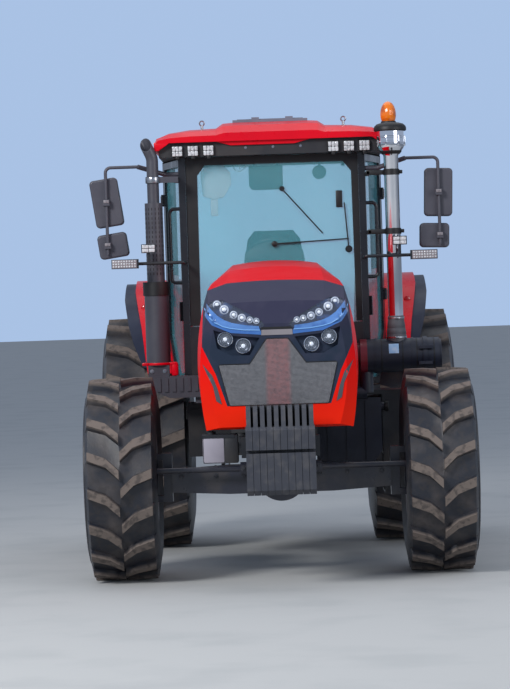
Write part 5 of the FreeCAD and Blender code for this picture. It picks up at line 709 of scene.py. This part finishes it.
def beacon():
    x, y = 0.806, -0.045
    dome = Forms()
    profile = [(0.042, 2.950), (0.049, 2.966), (0.0535, 2.990), (0.0530, 3.012), (0.049, 3.036), (0.041, 3.058),
               (0.029, 3.075), (0.015, 3.085), (0.002, 3.089)]
    rings = []
    for radius, z in profile:
        ring = []
        for k in range(72):
            rib = 1.0 - 0.03 * (k % 3 == 0) * (radius > 0.02)
            a = 2 * math.pi * k / 72
            ring.append((x + radius * rib * math.cos(a), y + radius * rib * math.sin(a), z))
        rings.append(ring)
    dome.loft(rings)
    lit = dome.done("beacon_dome", AMBER, CHASSIS, "amber")
    inner = Forms()
    inner.lathe([(0.020, 2.952), (0.024, 2.985), (0.018, 3.030), (0.006, 3.040)], (x, y, 0.0))
    inner.done("beacon_core", LED, CHASSIS, "lens")
    foot = Forms()
    foot.lathe([(0.030, 2.900), (0.046, 2.915), (0.052, 2.925), (0.052, 2.948), (0.049, 2.954)], (x, y, 0.0))
    foot.lathe([(0.013, 2.780), (0.013, 2.905)], (x, y, 0.0))
    foot.block((0.756, -0.072, 2.780), (0.832, -0.018, 2.786), 0.002)
    foot.done("beacon_foot", SEAL, CHASSIS, "dark_plastic")
    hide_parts("beacon")


# Exhaust and air intake ----------------------------------------------------------------------
def exhaust():
    x, y = -0.800, -0.345
    dark, shine, red, slots = Forms(), Forms(), Forms(), Forms()
    dark.lathe([(0.0892, 1.8195), (0.0900, 1.8205), (0.0900, 1.9095), (0.0892, 1.9105)], (x, y, 0.0), steps=48)
    dark.done("exhaust_band", SEAL, CHASSIS, "black_paint")
    shine.lathe([(0.0492, 2.577), (0.0500, 2.580), (0.0500, 2.610), (0.0492, 2.613)], (x, y, 0.0), steps=40)
    shine.block((x - 0.008, y - 0.068, 2.584), (x + 0.008, y - 0.048, 2.606), 0.002)
    for dx in (-0.045, 0.040):
        shine.screw((x + dx, -0.4155, 1.312), 0.009)
    shine.done("exhaust_clamp", STEEL, CHASSIS, "steel")
    red.lathe([(0.0935, 1.352), (0.0950, 1.354), (0.0950, 1.366), (0.0935, 1.368)], (x, y, 0.0), steps=48)
    for dx in (-0.088, 0.098):
        red.block((x + dx - 0.022, y - 0.075, 1.350), (x + dx + 0.022, y - 0.015, 1.370), 0.005)
    red.block((-0.716, -0.420, 1.276), (-0.668, -0.385, 1.372), 0.016)
    red.done("exhaust_brackets", RED, CHASSIS, "red_paint")
    for column in range(16):
        angle = 2 * math.pi * (column + 0.5) / 16
        turn = Matrix.Rotation(angle, 3, "Z")
        for row in range(15):
            middle = Vector((x + 0.0600 * math.cos(angle), y + 0.0600 * math.sin(angle), 1.965 + row * 0.031))
            half = Vector((0.0006, 0.0022, 0.0085))
            slots.block(middle - half, middle + half, 0.0, turn)
    slots.done("sleeve_slots", BURNT, CHASSIS, "black_paint")


def air_intake():
    x, y = 0.800, -0.435
    chrome = Forms()
    ribs = [(0.0905 + rise, level + lift) for level in (2.786, 2.820)
            for rise, lift in ((0.0, 0.0), (0.002, 0.002), (0.002, 0.010), (0.0, 0.012))]
    chrome.lathe([(0.049, 1.615), (0.049, 2.700), (0.052, 2.706), (0.086, 2.752), (0.0905, 2.762), *ribs,
                  (0.0905, 2.872)], (x, y, 0.0), steps=56)
    for k in range(3):
        angle = math.radians(250 + 55 * k)
        at_x, at_y = x + 0.094 * math.cos(angle), y + 0.094 * math.sin(angle)
        chrome.block((at_x - 0.007, at_y - 0.006, 2.765), (at_x + 0.007, at_y + 0.006, 2.835), 0.003,
                     Matrix.Rotation(angle + math.pi / 2, 3, "Z"))
    pipe = chrome.done("intake_chrome", CHROME, CHASSIS, "chrome")
    cap = Forms()
    cap.lathe([(0.092, 2.868), (0.104, 2.866), (0.109, 2.872), (0.109, 2.886), (0.104, 2.900), (0.088, 2.914),
               (0.060, 2.922), (0.020, 2.925)], (x, y, 0.0), steps=48)
    cap.lathe([(0.060, 2.712), (0.072, 2.725), (0.074, 2.735), (0.070, 2.737)], (x, y, 0.0), steps=40)
    for low in (2.178, 2.573):
        cap.lathe([(0.0525, low), (0.0545, low + 0.002), (0.0545, low + 0.038), (0.0525, low + 0.040)], (x, y, 0.0),
                  steps=40)
        cap.block((0.630, y - 0.010, low + 0.004), (0.752, y + 0.010, low + 0.036), 0.004)
        cap.block((0.6305, y - 0.010, low + 0.006), (0.656, -0.180, low + 0.034), 0.004)
        cap.block((x + 0.046, y - 0.014, low + 0.008), (x + 0.074, y + 0.014, low + 0.032), 0.003)
        cap.screw((x + 0.060, y - 0.014, low + 0.020), 0.006)
    cap.done("intake_cap", SEAL, CHASSIS, "dark_plastic")
    boot = Forms()
    boot.lathe([(0.067, 1.455), (0.067, 1.500), (0.0645, 1.505), (0.0645, 1.513), (0.066, 1.518), (0.062, 1.545),
                (0.0595, 1.548), (0.0595, 1.556), (0.061, 1.560), (0.057, 1.585), (0.054, 1.600), (0.054, 1.630),
                (0.051, 1.632)], (x, y, 0.0), steps=44)
    boot.done("intake_boot", RUBBER, CHASSIS, "dark_plastic")
    bands = Forms()
    for radius, z in ((0.0675, 1.482), (0.0548, 1.612)):
        bands.lathe([(radius, z), (radius + 0.0012, z + 0.001), (radius + 0.0012, z + 0.011), (radius, z + 0.012)],
                    (x, y, 0.0), steps=44)
        bands.block((x - 0.012, y - radius - 0.010, z), (x + 0.012, y - radius, z + 0.012), 0.002)
    bands.done("boot_bands", STEEL, CHASSIS, "steel")
    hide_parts("air_intake")


def air_cleaner():
    """Label, clips and end on the canister that lies across the front of the cab."""
    y, z, radius = -0.435, 1.367, 0.113
    label = Forms()
    rings = []
    for x in (0.742, 0.808):
        ring = [(x, y - (radius + 0.0006) * math.cos(a), z + (radius + 0.0006) * math.sin(a))
                for a in (math.radians(d) for d in range(8, 45, 3))]
        rings.append(ring + [(x, y - (radius - 0.001) * math.cos(a), z + (radius - 0.001) * math.sin(a))
                             for a in (math.radians(d) for d in range(44, 7, -3))])
    label.loft(rings)
    label.done("cleaner_label", LABEL, CHASSIS, "dark_plastic")
    ends = Forms()
    ends.lathe([(0.052, 0.0), (0.064, 0.004), (0.066, 0.030)], (0.518, y, z + 0.025), "X", 40)
    ends.lathe([(radius - 0.001, 0.0), (radius + 0.0014, 0.001), (radius + 0.0014, 0.046), (radius - 0.001, 0.047)],
               (0.551, y, z), "X", 56)
    ends.done("cleaner_end", DARK_RED, CHASSIS, "red_paint")
    clips = Forms()
    for x in (0.690, 0.830, 0.925, 1.040):
        clips.lathe([(radius - 0.001, 0.0), (radius + 0.0016, 0.001), (radius + 0.0016, 0.007),
                     (radius - 0.001, 0.008)], (x, y, z), "X", 56)
    clips.done("cleaner_ribs", SEAL, CHASSIS, "dark_plastic")


# Seat: cushion and back puffed up by cloth under pressure ------------------------------------
def oval(wide, deep, power=5.0, count=40):
    """Points of a rounded rectangle of half width and half depth."""
    out = []
    for i in range(count):
        a = 2 * math.pi * i / count
        c, s = math.cos(a), math.sin(a)
        out.append((wide * math.copysign(abs(c) ** (2 / power), c), deep * math.copysign(abs(s) ** (2 / power), s)))
    return out


def evaluated(piece):
    """The piece's mesh with its modifiers worked in."""
    worked = piece.evaluated_get(bpy.context.evaluated_depsgraph_get())
    return bpy.data.meshes.new_from_object(worked)


def puffed(piece, seams, cap=0.022):
    """Remesh, cloth under pressure with its travel capped, the seams pressed in, and one subdivision."""
    remesh = piece.modifiers.new("remesh", "REMESH")
    remesh.mode, remesh.voxel_size, remesh.use_smooth_shade = "VOXEL", 0.007, True
    fine = evaluated(piece)
    piece.modifiers.clear()
    piece.data = fine
    start = [v.co.copy() for v in fine.vertices]
    cloth = piece.modifiers.new("cloth", "CLOTH")
    cloth.settings.use_pressure = True
    cloth.settings.uniform_pressure_force = 4.0
    cloth.settings.effector_weights.gravity = 0.0
    for step in range(1, 21):
        bpy.context.scene.frame_set(step)
    moved = [v.co.copy() for v in evaluated(piece).vertices]
    piece.modifiers.clear()
    for vert, at, to in zip(fine.vertices, start, moved):
        way = to - at
        vert.co = at + way * min(1.0, cap / max(way.length, 1e-9))
    bpy.context.scene.frame_set(1)
    for vert in fine.vertices:
        press = sum(0.007 * math.exp(-(seam(vert.co) / 0.007) ** 2) for seam in seams)
        vert.co -= vert.normal * press
    smooth = piece.modifiers.new("smooth", "SUBSURF")
    smooth.levels = smooth.render_levels = 1
    piece.data = evaluated(piece)
    piece.modifiers.clear()
    piece.data.materials.clear()
    piece.data.materials.append(FABRIC.mat)
    for face in piece.data.polygons:
        face.use_smooth = True


def seat():
    cushion, back, shell = Forms(), Forms(), Forms()
    cushion.loft([[(x, y, 1.652 + z) for x, z in oval(wide, thick)] for y, wide, thick in (
        (0.672, 0.190, 0.018), (0.684, 0.212, 0.030), (0.715, 0.222, 0.036), (0.900, 0.224, 0.038),
        (1.030, 0.216, 0.036), (1.052, 0.190, 0.020))])
    middle = lambda z: 1.092 + (z - 1.70) * 0.19
    back.loft([[(x, middle(z) + y, z) for x, y in oval(wide, thick)] for z, wide, thick in (
        (1.725, 0.180, 0.020), (1.742, 0.200, 0.030), (1.850, 0.206, 0.034), (2.050, 0.204, 0.034),
        (2.190, 0.188, 0.032), (2.265, 0.150, 0.026), (2.275, 0.120, 0.016))])
    pad = cushion.done("seat_cushion", FABRIC, CHASSIS, "seat_fabric")
    rest = back.done("seat_back", FABRIC, CHASSIS, "seat_fabric")
    puffed(pad, [lambda p: abs(abs(p.x) - 0.130), lambda p: p.y - 0.80 if abs(p.x) < 0.13 else 1.0,
                 lambda p: p.y - 0.92 if abs(p.x) < 0.13 else 1.0])
    puffed(rest, [lambda p: abs(abs(p.x) - 0.125), lambda p: p.z - 1.88 if abs(p.x) < 0.125 else 1.0,
                  lambda p: p.z - 2.04 if abs(p.x) < 0.125 else 1.0])
    shell.block((-0.225, 0.665, 1.582), (0.225, 1.075, 1.606), 0.008)
    shell.loft([[(x, middle(z) + 0.062 + y, z) for x, y in oval(wide, 0.008)] for z, wide in (
        (1.640, 0.190), (1.720, 0.215), (2.050, 0.212), (2.200, 0.190), (2.262, 0.140))])
    for side in (1, -1):
        shell.block(*sorted_box((side * 0.196, 1.060, 1.600), (side * 0.216, 1.150, 1.720)), 0.004)
    shell.done("seat_shell", PLASTIC, CHASSIS, "dark_plastic")
    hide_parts("seat")


# Wheels: hub caps, clamp plates, valves and rings on the side walls --------------------------
def outer_x(tree, y, z, side=1):
    """How far out, on that side, the surface lies at y, z."""
    hit = tree.ray_cast(Vector((side * 3.0, y, z)), Vector((-side, 0.0, 0.0)))[0]
    return hit.x if hit else None


def wheels():
    for end, axle, height, cap, plates, walls in (
        ("front", FRONT_Y, FRONT_RADIUS, 0.062, 0.300, (0.405, 0.500, 0.535)),
        ("rear", REAR_Y, REAR_RADIUS, 0.078, 0.362, (0.480, 0.600, 0.690)),
    ):
        for tag, side in (("left", 1), ("right", -1)):
            rim, rubber = node_tree(f"{end}_rim_{tag}"), node_tree(f"{end}_tyre_{tag}")
            body = f"{end}_wheel_{tag}"
            bright, rings = Forms(), Forms()
            turn = Matrix.Rotation(math.pi, 3, "Z") if side < 0 else Matrix.Identity(3)
            x = outer_x(rim, axle, height, side)
            bright.lathe([(cap, -0.004), (cap, 0.006), (cap * 0.72, 0.010), (cap * 0.66, 0.030), (cap * 0.5, 0.036)],
                         (x, axle, height), "X", 36, turn)
            for i in range(8):
                a = 2 * math.pi * (i + 0.5) / 8
                y, z = axle + plates * math.cos(a), height + plates * math.sin(a)
                foot = outer_x(rim, y, z, side)
                roll = Matrix.Rotation(a, 3, "X")
                middle = Vector((foot + side * 0.002, y, z))
                bright.block(middle - Vector((0.003, 0.030, 0.022)), middle + Vector((0.003, 0.030, 0.022)), 0.002,
                             roll)
                bright.lathe([(0.013, 0.002), (0.013, 0.014), (0.010, 0.016)], (foot, y, z), "X", 6, turn)
            valve = Vector((0.0, axle + plates * 0.97, height + plates * 0.42))
            valve.x = outer_x(rim, valve.y, valve.z, side)
            bright.tube([valve, valve + Vector((side * 0.040, 0.0, 0.004))], 0.005, 8)
            bright.done(f"{end}_wheel_trim_{tag}", SILVER, body, "wheel_paint")
            for radius in walls:
                path = []
                for i in range(97):
                    a = 2 * math.pi * i / 96
                    y, z = axle + radius * math.cos(a), height + radius * math.sin(a)
                    path.append((outer_x(rubber, y, z, side), y, z))
                level = sorted(p[0] * side for p in path)[len(path) // 4] * side
                rings.tube([(level, y, z) for _, y, z in path], 0.006, 8)
            rings.done(f"{end}_tyre_rings_{tag}", FRONT_RUBBER if end == "front" else REAR_RUBBER, body,
                       "rubber_tyre")


def tyres():
    """The CAD tyres with the wide facets between their lugs shaded round."""
    for end, look in (("front", FRONT_RUBBER), ("rear", REAR_RUBBER)):
        for tag in ("left", "right"):
            for island in islands(f"{end}_tyre_{tag}"):
                piece = copied(island, f"{end}_rubber_{tag}", look, f"{end}_wheel_{tag}", slot="rubber_tyre",
                               angle=32.0)
                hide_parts(f"{end}_tyre_{tag}")


# Low down: weights, tool box, tank, steps, axle, radiator, rear lamps, reflectors ------------
def low_pieces():
    # Painted shade: a black sheet set behind the weight slabs darkens the gaps between them
    dark = Forms()
    dark.block((-0.207, -2.216, 0.992), (0.207, -2.206, 1.1245), 0.001)
    dark.done("weight_gap_shade", SEAL, CHASSIS, "dark_plastic")
    axle_y = front_of([node_tree("front_axle")])
    support_y = front_of([node_tree("front_support")])
    bolts = Forms()
    for x in (0.100, 0.240, 0.420, 0.640):
        for side in (1, -1):
            for z in (0.655, 0.705):
                y = axle_y(side * x, z)
                if y > NOSE_Y:
                    bolts.screw((side * x, y, z), 0.012)
    for x in (-0.190, -0.120, 0.120, 0.190):
        y = support_y(x, 0.900)
        if y > -2.20:
            bolts.screw((x, y, 0.900), 0.011)
    bolts.done("axle_bolts", IRON, CHASSIS, "iron")
    case = Forms()
    case.block((-0.4825, -2.0375, 0.7675), (-0.345, -1.8825, 0.9405), 0.012)
    case.done("tool_case", CLEAR_GREY, CHASSIS, "dark_plastic")
    lid = Forms()
    lid.block((-0.346, -2.0375, 0.7675), (-0.262, -1.8825, 0.9425), 0.008)
    lid.block((-0.4845, -2.0395, 0.9380), (-0.343, -1.8805, 0.9460), 0.003)
    lid.lathe([(0.030, 0.940), (0.030, 0.962), (0.024, 0.966)], (-0.430, -1.960, 0.0), steps=24)
    lid.done("tool_case_lid", PLASTIC, CHASSIS, "dark_plastic")
    tank = node_tree("fuel_tank")
    cap = Forms()
    x = outer_x(tank, -0.143, 1.020)
    profile = [(0.031, 0.0), (0.035, 0.004), (0.035, 0.024), (0.031, 0.028)]
    cap.lathe(profile, (x - 0.006, -0.143, 1.020), "X", 28)
    for i in range(14):
        a = 2 * math.pi * i / 14
        at = Vector((x + 0.008, -0.143 + 0.035 * math.cos(a), 1.020 + 0.035 * math.sin(a)))
        cap.block(at - Vector((0.009, 0.002, 0.002)), at + Vector((0.009, 0.002, 0.002)), 0.0,
                  Matrix.Rotation(a, 3, "X"))
    cap.done("tank_cap", SEAL, CHASSIS, "dark_plastic")
    teeth = Forms()
    for level in (0.444, 0.704, 0.964):
        for row in range(3):
            for column in range(12):
                x, y = 0.725 + row * 0.062, -0.075 + column * 0.030
                teeth.lathe([(0.010, level), (0.010, level + 0.003), (0.006, level + 0.004)], (x, y, 0.0), steps=10)
    teeth.done("step_teeth", BLACK, CHASSIS, "black_paint")
    fins = Forms()
    for i in range(61):
        x = -0.300 + i * 0.010
        fins.block((x - 0.0012, -1.7300, 1.020), (x + 0.0012, -1.7250, 1.690), 0.0)
    fins.done("radiator_fins", ALLOY, CHASSIS, "iron")


def rear_lamps():
    """Each rear lamp: a dark case with a red, an amber and a clear cell."""
    case, reds, ambers, clears = Forms(), Forms(), Forms(), Forms()
    for side in (1, -1):
        case.block(*sorted_box((side * 0.850, 2.262, 1.490), (side * 0.980, 2.312, 1.590)), 0.008)
        for forms, low, high in ((reds, 0.854, 0.892), (ambers, 0.896, 0.934), (clears, 0.938, 0.976)):
            forms.block(*sorted_box((side * low, 2.306, 1.496), (side * high, 2.320, 1.584)), 0.004)
            for k in range(6):
                z = 1.504 + k * 0.0135
                forms.block(*sorted_box((side * (low + 0.004), 2.3195, z), (side * (high - 0.004), 2.3215, z + 0.007)),
                            0.0)
    node = case.done("rear_lamp_cases", SEAL, CHASSIS, "dark_plastic")
    reds.done("rear_lamp_reds", RED_LENS, CHASSIS, "red_lens")
    ambers.done("rear_lamp_ambers", AMBER, CHASSIS, "amber")
    clears.done("rear_lamp_clears", CLEAR, CHASSIS, "lens")
    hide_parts("rear_lamps")


def reflectors():
    fender_y = {side: front_of([node_tree(f"fender_{tag}")]) for side, tag in ((1, "left"), (-1, "right"))}
    discs = Forms()
    for side, y_at in fender_y.items():
        x, z = side * 0.930, 1.735
        y = y_at(x, z)
        if y > NOSE_Y:
            discs.lathe([(0.024, 0.012), (0.024, -0.006), (0.018, -0.010), (0.006, -0.012)], (x, y, z), "Y", 28)
    discs.done("fender_reflectors", RED_LENS, CHASSIS, "red_lens")


nose()
roof()
work_lamps()
windscreen()
cab_inside()
mirrors()
side_lamps()
beacon()
exhaust()
air_intake()
air_cleaner()
seat()
wheels()
tyres()
low_pieces()
rear_lamps()
reflectors()


# Stage: floor, lamps and camera --------------------------------------------------------------
def stage():
    bpy.ops.mesh.primitive_plane_add(size=160.0, location=(0.0, 40.0, 0.0))
    floor = bpy.context.object
    floor.name = "floor"
    pale = Look("floor_pale", (0.44, 0.44, 0.43), 0.9)
    pale.stain((0.38, 0.385, 0.38), 0.6, scale=1.4).grain(0.2, 30.0, distance=0.004)
    floor.data.materials.append(pale.mat)
    world = bpy.data.worlds.new("studio")
    bpy.context.scene.world = world
    world.use_nodes = True
    nodes, links = world.node_tree.nodes, world.node_tree.links
    soft = nodes["Background"]
    soft.inputs["Color"].default_value = (0.62, 0.74, 0.95, 1.0)
    soft.inputs["Strength"].default_value = 0.55
    backdrop = nodes.new("ShaderNodeBackground")
    backdrop.inputs["Color"].default_value = (0.40, 0.54, 0.78, 1.0)
    backdrop.inputs["Strength"].default_value = 1.0
    seen = nodes.new("ShaderNodeLightPath")
    pick = nodes.new("ShaderNodeMixShader")
    links.new(seen.outputs["Is Camera Ray"], pick.inputs["Fac"])
    links.new(soft.outputs["Background"], pick.inputs[1])
    links.new(backdrop.outputs["Background"], pick.inputs[2])
    links.new(pick.outputs["Shader"], nodes["World Output"].inputs["Surface"])
    for name, place, size, power in (
        ("key", (-7.0, -10.0, 8.5), 3.5, 1300.0),
        ("fill", (8.0, -8.0, 5.0), 5.0, 330.0),
        ("top", (0.0, 2.0, 9.0), 8.0, 200.0),
    ):
        data = bpy.data.lights.new(name, "AREA")
        data.size = size
        data.energy = power
        lamp = bpy.data.objects.new(name, data)
        lamp.location = place
        lamp.rotation_euler = (Vector((0.0, -0.5, 1.3)) - lamp.location).to_track_quat("-Z", "Y").to_euler()
        bpy.context.scene.collection.objects.link(lamp)


def camera():
    """The photograph's view: from in front, level with the hood, a long lens rolled by the field's slope."""
    image_width, image_height = 510, 689
    focal = 3116.0
    roll = math.radians(1.9)
    aim_u = (275.6 - image_width / 2) / focal
    aim_v = (image_height / 2 - 293.0) / focal
    right = Vector((math.cos(roll), 0.0, -math.sin(roll)))
    up = Vector((math.sin(roll), 0.0, math.cos(roll)))
    ahead = (Vector((0.0, 1.0, 0.0)) - right * aim_u - up * aim_v).normalized()
    right = (right - ahead * right.dot(ahead)).normalized()
    up = right.cross(ahead)
    data = bpy.data.cameras.new("camera")
    data.sensor_width = 36.0
    data.lens = focal * data.sensor_width / image_height
    data.clip_end = 200.0
    view = bpy.data.objects.new("camera", data)
    turn = Matrix((right, up, -ahead)).transposed()
    view.matrix_world = Matrix.Translation((0.0, FRONT_Y - 20.0, 1.81)) @ turn.to_4x4()
    bpy.context.scene.collection.objects.link(view)
    bpy.context.scene.camera = view


stage()
camera()
bpy.context.scene.view_settings.view_transform = "Standard"
